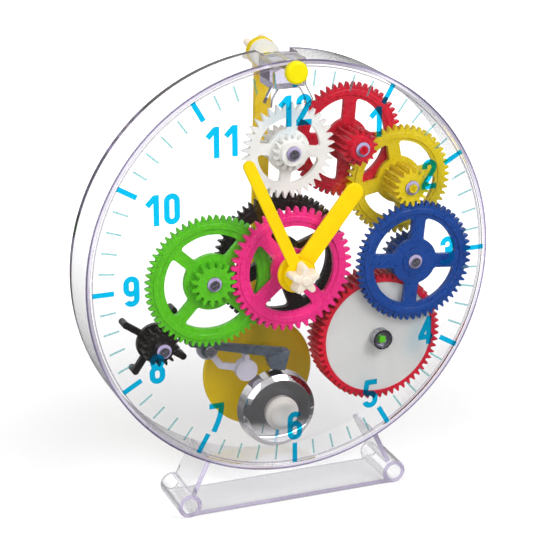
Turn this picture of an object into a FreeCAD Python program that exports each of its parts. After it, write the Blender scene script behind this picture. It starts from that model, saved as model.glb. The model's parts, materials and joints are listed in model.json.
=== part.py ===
import FreeCAD, Part
import math
import os

from FreeCAD import Vector

# Geared teaching clock
#
# A clear round case on a clear stand holds a spring-driven train of plastic gears. A pendulum behind
# the case swings an anchor over the escape wheel, and a four-armed wheel lifts a hammer off a bell.
# Lengths are in millimetres. X is to the right, Y goes into the clock and Z is up. The origin is the
# middle of the flat foot that the stand rests on.
# Depths are measured from the front rim of the case towards the back.
# Angles are in degrees in the plane of the dial, counter-clockwise from 3 o'clock.

# Case
CASE_WALL = 2.0
BACK_THICKNESS = 2.0
COVER_RECESS = 0.2
COVER_THICKNESS = 1.8
COVER_CLEARANCE = 0.2
NOTCH_WIDTH = 16.5
NOTCH_DEPTH = 11.0

# Stand
CENTRE_HEIGHT = 114.1
FOOT_SPACING = 103.0
FOOT_TUBE_RADIUS = 5.7
FOOT_TUBE_BORE = 3.6
FOOT_TUBE_LENGTH = 27.0
FOOT_PLATE = 2.4
WEB_THICKNESS = 2.4
WEB_ANGLE = 25.5
WEB_DEPTH = 24.0

# Clearances
SHAFT_CLEARANCE = 0.06
END_FLOAT = 0.4
BACKLASH = 0.30
SMALL_GAP = 0.3
WALL_ROOM = 2.1
WHEEL_GAP = 0.8
BARREL_GAP = 1.0
BACK_ROOM = 0.9
ARM_GAP = 1.1
KEY_ROOM = 3.2
BELL_ROOM = 2.85
BELL_BACK_ROOM = 2.6
ANCHOR_BACK_ROOM = 0.5

# Teeth
MODULE = 1.0
PRESSURE_ANGLE = 20.0
DEDENDUM = 1.25
BARREL_TEETH = 60
CENTRE_TEETH = 62
BLUE_PINION_TEETH = 20
BLUE_TEETH = 56
YELLOW_PINION_TEETH = 16
YELLOW_TEETH = 50
RED_PINION_TEETH = 15
RED_TEETH = 52
ESCAPE_PINION_TEETH = 15
ESCAPE_TEETH = 36
MINUTE_PINION_TEETH = 15
GREEN_TEETH = 60
GREEN_PINION_TEETH = 15
HOUR_TEETH = 45
STRIKER_TEETH = 15

# Directions from one axis to the next
BARREL_DIRECTION = -41.6
BLUE_DIRECTION = 66.6
YELLOW_DIRECTION = 93.6
GREEN_DIRECTION = 183.6
STRIKER_DIRECTION = 229.7
ESCAPE_HEIGHT = 54.3
ESCAPE_ASIDE = 0.8

# Posts and their screws
POST_RADIUS = 3.4
BEARING_BOSS_RADIUS = 5.2
SCREW_RADIUS = 1.2
SCREW_LENGTH = 10.0
SCREW_HEAD_RADIUS = 2.1
SCREW_HEAD_HEIGHT = 1.2
SCREW_SLOT = 0.5
SCREW_SLOT_TURN = 20.0
SLEEVE_RADIUS = 4.9

# Wheel depths, front face and thickness
HOUR_WHEEL_FRONT = 2.6
HOUR_WHEEL_THICKNESS = 2.4
GREEN_WHEEL_FRONT = 5.9
GREEN_WHEEL_THICKNESS = 2.6
BLUE_WHEEL_FRONT = 2.9
BLUE_WHEEL_THICKNESS = 2.6
BLUE_PINION_FRONT = 8.0
BLUE_PINION_LENGTH = 8.4
YELLOW_WHEEL_THICKNESS = 2.6
RED_WHEEL_THICKNESS = 2.5
RED_COLLAR_RADIUS = 5.7
RED_COLLAR_LENGTH = 2.4
ESCAPE_WHEEL_FRONT = 8.0
ESCAPE_WHEEL_THICKNESS = 2.4
ESCAPE_PINION_OVERHANG = 0.6
CENTRE_WHEEL_FRONT = 17.5
CENTRE_WHEEL_THICKNESS = 2.8
MINUTE_PINION_FRONT = 5.7
MINUTE_PINION_LENGTH = 3.1
STRIKER_FRONT = 5.7
STRIKER_PINION_LENGTH = 8.0

# Wheel webs
SPOKE_COUNT = 4
BLUE_WINDOW_INNER = 11.0
BLUE_WINDOW_OUTER = 21.0
BLUE_SPOKE_WIDTH = 6.4
BLUE_SPOKE_TURN = -6.0
BLUE_BOSS_RADIUS = 6.0
BLUE_NECK_RADIUS = 8.2
YELLOW_WINDOW_INNER = 11.0
YELLOW_WINDOW_OUTER = 18.6
YELLOW_SPOKE_WIDTH = 6.0
YELLOW_SPOKE_TURN = 10.0
RED_WINDOW_INNER = 10.0
RED_WINDOW_OUTER = 19.5
RED_SPOKE_WIDTH = 6.0
RED_SPOKE_TURN = -5.0
ESCAPE_WINDOW_INNER = 9.8
ESCAPE_WINDOW_OUTER = 15.2
ESCAPE_SPOKE_WIDTH = 5.0
ESCAPE_SPOKE_TURN = -8.0
CENTRE_WINDOW_INNER = 11.5
CENTRE_WINDOW_OUTER = 23.5
CENTRE_SPOKE_WIDTH = 7.0
CENTRE_SPOKE_TURN = 20.0
GREEN_WINDOW_INNER = 13.0
GREEN_WINDOW_OUTER = 22.4
GREEN_SPOKE_WIDTH = 5.4
GREEN_SPOKE_TURN = 47.0
HOUR_WINDOW_INNER = 9.8
HOUR_WINDOW_OUTER = 20.6
HOUR_SPOKE_WIDTH = 6.2
HOUR_SPOKE_TURN = 40.0
HOUR_HUB_RADIUS = 7.4
RIDGE_HEIGHT = 0.5
RIDGE_WIDTH = 2.6
RIDGE_INSET = 1.2
WINDOW_CORNER = 1.3

# Escapement
ESCAPE_RADIUS = 22.0
ESCAPE_TOOTH_DEPTH = 3.2
ESCAPE_TIP_WIDTH = 0.5
PALLET_INSET = 5.5
PALLET_SPAN_TEETH = 4.5
PALLET_CLEARANCE = 0.25
PALLET_TIP_WIDTH = 0.5
PALLET_LEG_WIDTH = 3.4
ANCHOR_WIDTH = 16.0
ANCHOR_HEIGHT = 11.5
ANCHOR_FRONT = 7.5
ANCHOR_THICKNESS = 3.4
PALLET_ARBOR_RADIUS = 1.5
ARBOR_HEAD_RADIUS = 5.2
ARBOR_HEAD_THICKNESS = 3.2

# Pendulum
PENDULUM_THICKNESS = 3.0
PENDULUM_WIDTH = 7.2
PENDULUM_WEB = 1.4
PENDULUM_EYE_RADIUS = 7.2
PENDULUM_LEAN = 1.5
BOB_DROP = 154.5
BOB_RADIUS = 27.3
BOB_THICKNESS = 2.6
COLLAR_RADIUS = 6.6
COLLAR_LENGTH = 5.0
PENDULUM_KNOB_RADIUS = 7.6
PENDULUM_KNOB_LENGTH = 6.0

# Barrel and winding
BARREL_WIDTH = 14.0
BARREL_RIM = 1.6
BARREL_BACK = 1.5
BARREL_COVER_RECESS = 0.5
BARREL_COVER_THICKNESS = 1.4
BARREL_ARBOR_RADIUS = 3.0
ARBOR_TIP_RADIUS = 2.0
ARBOR_SQUARE = 2.8
SPRING_STRIP = 0.5
SPRING_TURNS = 9
SPRING_SIDE_GAP = 0.6
BUSH_RADIUS = 4.8
BUSH_CUP_RADIUS = 3.9
BUSH_LENGTH = 4.1
BUSH_FLOOR = 1.2
CLIP_RADIUS = 3.2
CLIP_THICKNESS = 0.6
RATCHET_TEETH = 24
RATCHET_RADIUS = 9.5
RATCHET_TOOTH = 1.4
RATCHET_THICKNESS = 2.2
RATCHET_FACE = 135.0
CLICK_DISTANCE = 14.0
CLICK_DIRECTION = 85.0
CLICK_PIVOT_RADIUS = 3.0
CLICK_ARM_WIDTH = 2.4
CLICK_NOSE = 1.8
CLICK_MIDDLE = 15.0
CLICK_HEEL = 40.0
CLICK_SCREW_RADIUS = 1.3
CLICK_SPRING_WIRE = 0.35
KEY_HUB_RADIUS = 6.0
KEY_HUB_LENGTH = 8.6
KEY_SPAN = 31.0
KEY_WING_HEIGHT = 8.0
KEY_WING_THICKNESS = 3.4

# Hands
MINUTE_ARBOR_RADIUS = 2.0
CANNON_WALL = 1.3
HOUR_HAND_FRONT = -4.6
HOUR_HAND_THICKNESS = 2.0
HOUR_HAND_LENGTH = 49.0
HOUR_HAND_WIDTH = 8.8
HOUR_HAND_HUB = 9.0
HOUR_HAND_CLOCK_ANGLE = 38.4
MINUTE_HAND_FRONT = -8.2
MINUTE_HAND_THICKNESS = 2.0
MINUTE_HAND_LENGTH = 61.0
MINUTE_HAND_WIDTH = 5.4
MINUTE_HAND_HUB = 7.4
MINUTE_HAND_CLOCK_ANGLE = 336.0
KNOB_RADIUS = 7.4
KNOB_LENGTH = 8.6
KNOB_LOBES = 5
KNOB_CORE_SHARE = 0.62
KNOB_LOBE_SHARE = 0.7

# Striking
ARM_COUNT = 4
ARM_RADIUS = 18.0
ARM_WIDTH = 3.0
ARM_THICKNESS = 2.4
ARM_TURN = 55.0
ARM_PIN_RADIUS = 1.6
ARM_PIN_LENGTH = 4.0
STRIKER_DISC_RADIUS = 9.2
STRIKER_DISC_THICKNESS = 2.2
BELL_X = -1.8
BELL_RADIUS = 18.8
BELL_HEIGHT = 9.4
BELL_WALL = 1.0
BELL_ROUNDING = 6.4
BELL_POST_RADIUS = 4.0
BELL_CAP_RADIUS = 8.1
BELL_CAP_HEIGHT = 3.6
BELL_STEM_RADIUS = 2.4
BELL_STEM_LENGTH = 5.0
HAMMER_FROM_STRIKER = 27.5
HAMMER_UNDER_STRIKER = 10.0
ELBOW_FROM_BELL = 6.3
ELBOW_OVER_BELL = 28.65
HAMMER_THICKNESS = 2.4
HAMMER_EYE_RADIUS = 3.8
HAMMER_TAIL_RADIUS = 1.6
HAMMER_TAIL_DIRECTION = -16.0
HAMMER_HEAD_WIDTH = 7.3
HAMMER_HEAD_HEIGHT = 5.7
HAMMER_HEAD_DEPTH = 6.0
HAMMER_HEAD_DIRECTION = 79.0
HAMMER_HEAD_SLOPE = 13.4
HAMMER_HEAD_FLARE = 15.7
HAMMER_LIFT = 0.7
HAMMER_PIN_RADIUS = 1.5
BRACKET_BOSS_RADIUS = 5.2
BRACKET_FROM_BELL = 14.1
BRACKET_OVER_BELL = 20.4
BRACKET_WEB = 3.0
STOP_WIDTH = 2.4

# Sizes that follow
COVER_BACK = COVER_RECESS + COVER_THICKNESS
BARREL_FRONT = BLUE_WHEEL_FRONT + BLUE_WHEEL_THICKNESS + BARREL_GAP
YELLOW_WHEEL_FRONT = BLUE_PINION_FRONT + BLUE_PINION_LENGTH + WHEEL_GAP
RED_WHEEL_FRONT = YELLOW_WHEEL_FRONT + YELLOW_WHEEL_THICKNESS + WHEEL_GAP
ESCAPE_PINION_FRONT = RED_WHEEL_FRONT - ESCAPE_PINION_OVERHANG
PLATE_FRONT = RED_WHEEL_FRONT + RED_WHEEL_THICKNESS + BACK_ROOM
CASE_DEPTH = PLATE_FRONT + BACK_THICKNESS
HOUR_MODULE = MODULE * (MINUTE_PINION_TEETH + GREEN_TEETH) / (GREEN_PINION_TEETH + HOUR_TEETH)
ARM_BACK = STRIKER_FRONT + STRIKER_PINION_LENGTH + STRIKER_DISC_THICKNESS + ARM_THICKNESS
HAMMER_FRONT = ARM_BACK + ARM_GAP
BELL_FRONT = PLATE_FRONT - BELL_BACK_ROOM - BELL_HEIGHT
HUB_FRONT = COVER_BACK + END_FLOAT
HUB_BACK = PLATE_FRONT - END_FLOAT
CANNON_RADIUS = MINUTE_ARBOR_RADIUS + SHAFT_CLEARANCE + CANNON_WALL
WHEEL_BORE = POST_RADIUS + SHAFT_CLEARANCE
BARREL_BORE = MODULE * BARREL_TEETH / 2 - DEDENDUM * MODULE - BARREL_RIM
CENTRE_HUB_BACK = CENTRE_WHEEL_FRONT + CENTRE_WHEEL_THICKNESS + 0.8
BUSH_FACE = COVER_BACK + BUSH_LENGTH - BUSH_FLOOR
RATCHET_FRONT = CASE_DEPTH + SMALL_GAP
KEY_FRONT = RATCHET_FRONT + RATCHET_THICKNESS + SMALL_GAP
KEY_BACK = KEY_FRONT + KEY_HUB_LENGTH
PENDULUM_FRONT = KEY_BACK + KEY_ROOM
KNOB_FRONT = MINUTE_HAND_FRONT - KNOB_LENGTH
HEAD_BACK = COVER_RECESS - END_FLOAT
KNOB_SEAT = PENDULUM_FRONT + PENDULUM_THICKNESS


def y_of(depth):
    """The Y coordinate of a depth behind the front rim."""
    return depth - CASE_DEPTH / 2


def toward(point, distance, degrees):
    """The point at a distance and direction from another, in the plane of the dial."""
    turn = math.radians(degrees)
    return point[0] + distance * math.cos(turn), point[1] + distance * math.sin(turn)


def mesh_distance(first, second, module=MODULE):
    """How far apart the axes of two meshed wheels are."""
    return module * (first + second) / 2


def reach(axis, teeth):
    """How far the tips of a wheel's teeth lie from the middle of the case."""
    return math.dist(CENTRE, axis) + MODULE * (teeth / 2 + 1)


def crossing(first, first_radius, second, second_radius):
    """The upper right crossing of two circles."""
    dx = second[0] - first[0]
    dz = second[1] - first[1]
    apart = math.hypot(dx, dz)
    along = (first_radius**2 - second_radius**2 + apart**2) / (2 * apart)
    aside = math.sqrt(first_radius**2 - along**2)
    x = first[0] + (along * dx - aside * dz) / apart
    z = first[1] + (along * dz + aside * dx) / apart
    return x, z


# Axes
CENTRE = (0.0, CENTRE_HEIGHT)
BARREL = toward(CENTRE, mesh_distance(BARREL_TEETH, CENTRE_TEETH), BARREL_DIRECTION)
BLUE = toward(BARREL, mesh_distance(BARREL_TEETH, BLUE_PINION_TEETH), BLUE_DIRECTION)
YELLOW = toward(BLUE, mesh_distance(BLUE_TEETH, YELLOW_PINION_TEETH), YELLOW_DIRECTION)
ESCAPE = (ESCAPE_ASIDE, CENTRE_HEIGHT + ESCAPE_HEIGHT)
RED = crossing(
    ESCAPE,
    mesh_distance(RED_TEETH, ESCAPE_PINION_TEETH),
    YELLOW,
    mesh_distance(YELLOW_TEETH, RED_PINION_TEETH),
)
GREEN = toward(CENTRE, mesh_distance(MINUTE_PINION_TEETH, GREEN_TEETH), GREEN_DIRECTION)
STRIKER = toward(GREEN, mesh_distance(GREEN_TEETH, STRIKER_TEETH), STRIKER_DIRECTION)
CLICK = toward(BARREL, CLICK_DISTANCE, CLICK_DIRECTION)

# The case goes round the wheels, and what hangs in it is placed from its wall
CASE_RADIUS = max(reach(BARREL, BARREL_TEETH), reach(BLUE, BLUE_TEETH), reach(YELLOW, YELLOW_TEETH))
CASE_RADIUS += WALL_ROOM + CASE_WALL
PALLET = (ESCAPE[0], CENTRE_HEIGHT + CASE_RADIUS - PALLET_INSET)
BOB = toward(PALLET, BOB_DROP, -90 - PENDULUM_LEAN)
BELL = (BELL_X, CENTRE_HEIGHT - CASE_RADIUS + CASE_WALL + BELL_ROOM + BELL_RADIUS)
HAMMER = (STRIKER[0] + HAMMER_FROM_STRIKER, STRIKER[1] - HAMMER_UNDER_STRIKER)
ELBOW = (BELL[0] + ELBOW_FROM_BELL, BELL[1] + ELBOW_OVER_BELL)
BRACKET = (BELL[0] - BRACKET_FROM_BELL, BELL[1] + BRACKET_OVER_BELL)
POST_AXES = [BLUE, YELLOW, RED, ESCAPE, GREEN, STRIKER]


# Shapes
def bar(point, radius, front, back):
    """A round bar along the depth."""
    base = Vector(point[0], y_of(front), point[1])
    return Part.makeCylinder(radius, back - front, base, Vector(0, 1, 0))


def tube(point, outer, inner, front, back):
    """A round tube along the depth."""
    return bar(point, outer, front, back).cut(bar(point, inner, front - 1, back + 1))


def prism(points, front, back):
    """A straight-sided outline carried along the depth."""
    corners = [Vector(x, y_of(front), z) for x, z in points]
    outline = Part.makePolygon(corners + corners[:1])
    return Part.Face(outline).extrude(Vector(0, back - front, 0))


def strap(first, second, width, front, back):
    """A flat bar with round ends from one point to another."""
    dx = second[0] - first[0]
    dz = second[1] - first[1]
    length = math.hypot(dx, dz)
    ax = -dz / length * width / 2
    az = dx / length * width / 2
    corners = [
        (first[0] + ax, first[1] + az),
        (second[0] + ax, second[1] + az),
        (second[0] - ax, second[1] - az),
        (first[0] - ax, first[1] - az),
    ]
    ends = [bar(first, width / 2, front, back), bar(second, width / 2, front, back)]
    return prism(corners, front, back).fuse(ends)


def joined(shapes):
    """Several touching shapes as one solid."""
    return shapes[0].fuse(shapes[1:]).removeSplitter()


def rounded_rims(shape, radius, depth):
    """Rounds the circular edges that lie at one depth."""
    rims = [
        edge
        for edge in shape.Edges
        if isinstance(edge.Curve, Part.Circle) and abs(edge.Curve.Center.y - y_of(depth)) < 0.01
    ]
    return shape.makeFillet(radius, rims)


def write(name, shape):
    """Writes one piece to its own file."""
    solids = shape.Solids
    piece = solids[0] if len(solids) == 1 else Part.makeCompound(solids)
    piece.exportStep("parts/" + name + ".step")


# Teeth
def involute(angle):
    return math.tan(angle) - angle


def half_tooth(teeth, module, radius):
    """Half the angle that a tooth fills at a radius."""
    pitch = module * teeth / 2
    pressure = math.radians(PRESSURE_ANGLE)
    base = pitch * math.cos(pressure)
    at_pitch = (math.pi * module - BACKLASH) / 4 / pitch
    reach = max(radius, base)
    return at_pitch + involute(pressure) - involute(math.acos(base / reach))


def gear(point, teeth, module, turn, front, back):
    """A solid toothed disc, one of whose teeth points in the direction turn."""
    pitch = module * teeth / 2
    tip = pitch + module
    root = pitch - DEDENDUM * module
    base = pitch * math.cos(math.radians(PRESSURE_ANGLE))
    radii = [root, pitch, tip] if base < root else [root, base, pitch, tip]
    flank = [(radius, half_tooth(teeth, module, radius)) for radius in radii]
    outline = []
    for number in range(teeth):
        middle = math.radians(turn) + 2 * math.pi * number / teeth
        side = [(radius, middle - half) for radius, half in flank]
        side += [(radius, middle + half) for radius, half in reversed(flank)]
        outline += [toward(point, radius, math.degrees(angle)) for radius, angle in side]
    return prism(outline, front, back)


def meshed(turn, teeth, point, other_teeth, other_point):
    """The turn that sets a tooth gap of the other wheel over a tooth of this one."""
    line = math.degrees(math.atan2(other_point[1] - point[1], other_point[0] - point[0]))
    here = (line - turn) * teeth / 360
    there = 0.5 - here
    return line + 180 - (there % 1) * 360 / other_teeth


def windows(point, inner, outer, spoke_width, turn, front, back):
    """The rounded openings between the spokes of a wheel."""
    blank = tube(point, outer, inner, front - 1, back + 1)
    spokes = []
    for number in range(SPOKE_COUNT):
        direction = turn + 360 * number / SPOKE_COUNT
        spokes.append(strap(point, toward(point, outer * 2, direction), spoke_width, front - 2, back + 2))
    rounded = []
    for opening in blank.cut(spokes).Solids:
        corners = [
            edge
            for edge in opening.Edges
            if isinstance(edge.Curve, Part.Line) and abs(edge.tangentAt(edge.FirstParameter).y) > 0.99
        ]
        rounded.append(opening.makeFillet(WINDOW_CORNER, corners))
    return rounded


def spoked_wheel(point, teeth, turn, front, back, openings, module=MODULE):
    """A toothed wheel with openings and a raised ridge around the front of its rim."""
    disc = gear(point, teeth, module, turn, front, back)
    root = module * teeth / 2 - DEDENDUM * module
    ridge_outer = root - RIDGE_INSET
    ridge = tube(point, ridge_outer, ridge_outer - RIDGE_WIDTH, front - RIDGE_HEIGHT, front + RIDGE_HEIGHT)
    ridge = rounded_rims(ridge, RIDGE_HEIGHT / 2, front - RIDGE_HEIGHT)
    return disc.cut(openings).fuse(ridge)


def bored(shape, point, radius, front, back):
    """A shape with a round hole along the depth."""
    return shape.cut(bar(point, radius, front - 1, back + 1))


# Turns that set the teeth in mesh
BLUE_TURN = 0.0
BARREL_TURN = meshed(BLUE_TURN, BLUE_PINION_TEETH, BLUE, BARREL_TEETH, BARREL)
CENTRE_TURN = meshed(BARREL_TURN, BARREL_TEETH, BARREL, CENTRE_TEETH, CENTRE)
YELLOW_TURN = meshed(BLUE_TURN, BLUE_TEETH, BLUE, YELLOW_PINION_TEETH, YELLOW)
RED_TURN = meshed(YELLOW_TURN, YELLOW_TEETH, YELLOW, RED_PINION_TEETH, RED)
ESCAPE_PINION_TURN = meshed(RED_TURN, RED_TEETH, RED, ESCAPE_PINION_TEETH, ESCAPE)
MINUTE_TURN = 90.0
GREEN_TURN = meshed(MINUTE_TURN, MINUTE_PINION_TEETH, CENTRE, GREEN_TEETH, GREEN)
HOUR_TURN = meshed(GREEN_TURN, GREEN_PINION_TEETH, GREEN, HOUR_TEETH, CENTRE)
STRIKER_TURN = meshed(GREEN_TURN, GREEN_TEETH, GREEN, STRIKER_TEETH, STRIKER)
ESCAPE_TURN = 90.0 - 360.0 / ESCAPE_TEETH / 2


# Case
def case_back():
    """The clear round back with its wall, and the posts and bosses that carry the works."""
    inner = CASE_RADIUS - CASE_WALL
    wall = tube(CENTRE, CASE_RADIUS, inner, 0, CASE_DEPTH)
    notch = Part.makeBox(
        NOTCH_WIDTH,
        NOTCH_DEPTH + 1,
        CASE_WALL * 4,
        Vector(-NOTCH_WIDTH / 2, y_of(CASE_DEPTH - NOTCH_DEPTH), CENTRE_HEIGHT + CASE_RADIUS - CASE_WALL * 3),
    )
    pieces = [wall.cut(notch), bar(CENTRE, inner, PLATE_FRONT, CASE_DEPTH)]
    for axis in POST_AXES:
        pieces.append(bar(axis, POST_RADIUS, COVER_BACK, PLATE_FRONT))
    pieces.append(bar(CENTRE, BEARING_BOSS_RADIUS, CENTRE_HUB_BACK + END_FLOAT, PLATE_FRONT))
    pieces.append(bar(BARREL, BEARING_BOSS_RADIUS, BARREL_FRONT + BARREL_WIDTH + END_FLOAT, PLATE_FRONT))
    pieces.append(bar(BELL, BELL_POST_RADIUS, BELL_FRONT + BELL_WALL, PLATE_FRONT))
    pieces.append(bar(CLICK, CLICK_PIVOT_RADIUS, CASE_DEPTH - SMALL_GAP, CASE_DEPTH + SMALL_GAP))
    body = joined(pieces)
    holes = [bar(axis, SCREW_RADIUS, 0, COVER_BACK + SCREW_LENGTH) for axis in POST_AXES]
    holes.append(bar(CENTRE, MINUTE_ARBOR_RADIUS + SHAFT_CLEARANCE, 0, CASE_DEPTH + 1))
    holes.append(bar(BARREL, BARREL_ARBOR_RADIUS + SHAFT_CLEARANCE, 0, CASE_DEPTH + 1))
    holes.append(bar(PALLET, PALLET_ARBOR_RADIUS + SHAFT_CLEARANCE, PLATE_FRONT - 1, CASE_DEPTH + 1))
    holes.append(bar(BELL, BELL_STEM_RADIUS, BELL_FRONT, BELL_FRONT + BELL_WALL + BELL_STEM_LENGTH))
    holes.append(bar(HAMMER, HAMMER_PIN_RADIUS, PLATE_FRONT - 1, CASE_DEPTH + 1))
    holes.append(bar(CLICK, CLICK_SCREW_RADIUS, PLATE_FRONT - 1, CASE_DEPTH + 1))
    return body.cut(holes)


def front_cover():
    """The clear dial that closes the case, with holes for the hands, the anchor and the screws."""
    disc = bar(CENTRE, CASE_RADIUS - CASE_WALL - COVER_CLEARANCE, COVER_RECESS, COVER_BACK)
    holes = [bar(CENTRE, CANNON_RADIUS + SHAFT_CLEARANCE, -1, COVER_BACK + 1)]
    holes.append(bar(PALLET, PALLET_ARBOR_RADIUS + SHAFT_CLEARANCE, -1, COVER_BACK + 1))
    for axis in POST_AXES:
        holes.append(bar(axis, SCREW_RADIUS, -1, COVER_BACK + 1))
        holes.append(bar(axis, SCREW_HEAD_RADIUS, -1, COVER_RECESS + SCREW_HEAD_HEIGHT))
    return disc.cut(holes)


def cover_screws():
    """The screws that hold the cover on its posts."""
    screws = []
    for axis in POST_AXES:
        head = bar(axis, SCREW_HEAD_RADIUS, COVER_RECESS, COVER_RECESS + SCREW_HEAD_HEIGHT)
        shank = bar(axis, SCREW_RADIUS, COVER_RECESS + SCREW_HEAD_HEIGHT, COVER_BACK + SCREW_LENGTH)
        slots = []
        for direction in (SCREW_SLOT_TURN, SCREW_SLOT_TURN + 90):
            one_end = toward(axis, SCREW_HEAD_RADIUS * 0.6, direction)
            other_end = toward(axis, -SCREW_HEAD_RADIUS * 0.6, direction)
            slots.append(strap(one_end, other_end, SCREW_SLOT, COVER_RECESS - 1, COVER_RECESS + SCREW_SLOT))
        screws.append(head.fuse(shank).cut(slots))
    return Part.makeCompound(screws)


def stand():
    """Two tube feet, the plate between them and the slanted webs that hold the case."""
    front = (CASE_DEPTH - FOOT_TUBE_LENGTH) / 2
    back = front + FOOT_TUBE_LENGTH
    web_front = (CASE_DEPTH - WEB_DEPTH) / 2
    plate = Part.makeBox(FOOT_SPACING, CASE_DEPTH, FOOT_PLATE, Vector(-FOOT_SPACING / 2, y_of(0), 0))
    pieces = [plate]
    bores = []
    for side in (-1, 1):
        foot = (side * FOOT_SPACING / 2, FOOT_TUBE_RADIUS)
        top = toward(CENTRE, CASE_RADIUS - WEB_THICKNESS, -90 + side * WEB_ANGLE)
        pieces.append(bar(foot, FOOT_TUBE_RADIUS, front, back))
        pieces.append(strap(foot, top, WEB_THICKNESS, web_front, web_front + WEB_DEPTH))
        bores.append(bar(foot, FOOT_TUBE_BORE, front - 1, back + 1))
    bores.append(bar(CENTRE, CASE_RADIUS, -CASE_DEPTH, CASE_DEPTH * 2))
    return joined(pieces).cut(bores)


# Train
def barrel():
    """The wide toothed drum that holds the mainspring."""
    back = BARREL_FRONT + BARREL_WIDTH
    drum = gear(BARREL, BARREL_TEETH, MODULE, BARREL_TURN, BARREL_FRONT, back)
    drum = drum.cut(bar(BARREL, BARREL_BORE, BARREL_FRONT - 1, back - BARREL_BACK))
    return bored(drum, BARREL, BARREL_ARBOR_RADIUS + SHAFT_CLEARANCE, BARREL_FRONT, back)


def barrel_cover():
    """The pale disc that closes the drum."""
    front = BARREL_FRONT + BARREL_COVER_RECESS
    disc = bar(BARREL, BARREL_BORE, front, front + BARREL_COVER_THICKNESS)
    return bored(disc, BARREL, BARREL_ARBOR_RADIUS + SHAFT_CLEARANCE, front, front + BARREL_COVER_THICKNESS)


def mainspring():
    """A flat strip wound in a spiral between the arbor and the drum."""
    inner = BARREL_ARBOR_RADIUS + SMALL_GAP
    outer = BARREL_BORE - SPRING_STRIP - SMALL_GAP / 2
    steps = SPRING_TURNS * 16
    inside = []
    outside = []
    for step in range(steps + 1):
        share = step / steps
        radius = inner + (outer - inner) * share
        direction = 360 * SPRING_TURNS * share
        inside.append(toward(BARREL, radius, direction))
        outside.append(toward(BARREL, radius + SPRING_STRIP, direction))
    front = BARREL_FRONT + BARREL_COVER_RECESS + BARREL_COVER_THICKNESS + SPRING_SIDE_GAP
    back = BARREL_FRONT + BARREL_WIDTH - BARREL_BACK - SPRING_SIDE_GAP
    return prism(inside + outside[::-1], front, back)


def arbor_square(front, back):
    """The square end of the winding shaft."""
    half = ARBOR_SQUARE / 2
    corners = [(BARREL[0] + x * half, BARREL[1] + z * half) for x, z in ((-1, -1), (1, -1), (1, 1), (-1, 1))]
    return prism(corners, front, back)


def barrel_arbor():
    """The green shaft that winds the spring, square at its front end."""
    shoulder = BARREL_FRONT - SMALL_GAP / 2
    core = bar(BARREL, BARREL_ARBOR_RADIUS, shoulder, KEY_BACK)
    tip = bar(BARREL, ARBOR_TIP_RADIUS, BUSH_FACE + CLIP_THICKNESS, shoulder)
    square = arbor_square(HUB_FRONT, BUSH_FACE + CLIP_THICKNESS)
    return joined([core, tip, square])


def barrel_bush():
    """The metal cup on the cover that carries the front of the arbor."""
    back = COVER_BACK + BUSH_LENGTH
    cup = bar(BARREL, BUSH_RADIUS, COVER_BACK, back)
    cup = cup.cut(bar(BARREL, BUSH_CUP_RADIUS, COVER_BACK - 1, back - BUSH_FLOOR))
    return bored(cup, BARREL, ARBOR_TIP_RADIUS + SHAFT_CLEARANCE, COVER_BACK, back)


def arbor_clip():
    """The small ring on the arbor inside the cup."""
    front = BUSH_FACE - CLIP_THICKNESS
    return bar(BARREL, CLIP_RADIUS, front, BUSH_FACE).cut(arbor_square(front - 1, BUSH_FACE + 1))


def ratchet_wheel():
    """The saw-toothed wheel that lets the key turn one way only."""
    pitch = 360 / RATCHET_TEETH
    outline = []
    for number in range(RATCHET_TEETH):
        face = RATCHET_FACE - pitch * number
        outline.append(toward(BARREL, RATCHET_RADIUS, face))
        outline.append(toward(BARREL, RATCHET_RADIUS - RATCHET_TOOTH, face))
    wheel = prism(outline, RATCHET_FRONT, RATCHET_FRONT + RATCHET_THICKNESS)
    return bored(wheel, BARREL, BARREL_ARBOR_RADIUS, RATCHET_FRONT, RATCHET_FRONT + RATCHET_THICKNESS)


def click():
    """The pawl whose nose lies in the ratchet teeth."""
    back = RATCHET_FRONT + RATCHET_THICKNESS
    root = RATCHET_RADIUS - RATCHET_TOOTH
    over = RATCHET_RADIUS + SMALL_GAP * 1.5
    inner_edge = [
        (root + SMALL_GAP * 1.6, CLICK_NOSE),
        (over, CLICK_MIDDLE),
        (over + SMALL_GAP, CLICK_HEEL * 0.725),
        (over + SMALL_GAP * 4, CLICK_HEEL),
    ]
    outer_edge = [
        (CLICK_DISTANCE + CLICK_PIVOT_RADIUS / 2, CLICK_HEEL * 0.95),
        (RATCHET_RADIUS + CLICK_ARM_WIDTH * 1.5, CLICK_MIDDLE * 1.2),
        (RATCHET_RADIUS + CLICK_ARM_WIDTH * 0.8, CLICK_NOSE + 0.8),
    ]
    outline = [toward(BARREL, radius, RATCHET_FACE - along) for radius, along in inner_edge + outer_edge]
    arm = prism(outline, RATCHET_FRONT, back)
    boss = bar(CLICK, CLICK_PIVOT_RADIUS, RATCHET_FRONT, back)
    return bored(joined([arm, boss]), CLICK, CLICK_SCREW_RADIUS + SHAFT_CLEARANCE, RATCHET_FRONT, back)


def click_screw():
    """The screw that the click turns on."""
    back = RATCHET_FRONT + RATCHET_THICKNESS + SMALL_GAP + CLICK_SPRING_WIRE * 6
    shank = bar(CLICK, CLICK_SCREW_RADIUS, PLATE_FRONT + SMALL_GAP, back)
    head = bar(CLICK, CLICK_PIVOT_RADIUS, back, back + SCREW_HEAD_HEIGHT)
    return rounded_rims(joined([shank, head]), SCREW_HEAD_HEIGHT / 2, back + SCREW_HEAD_HEIGHT)


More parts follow.
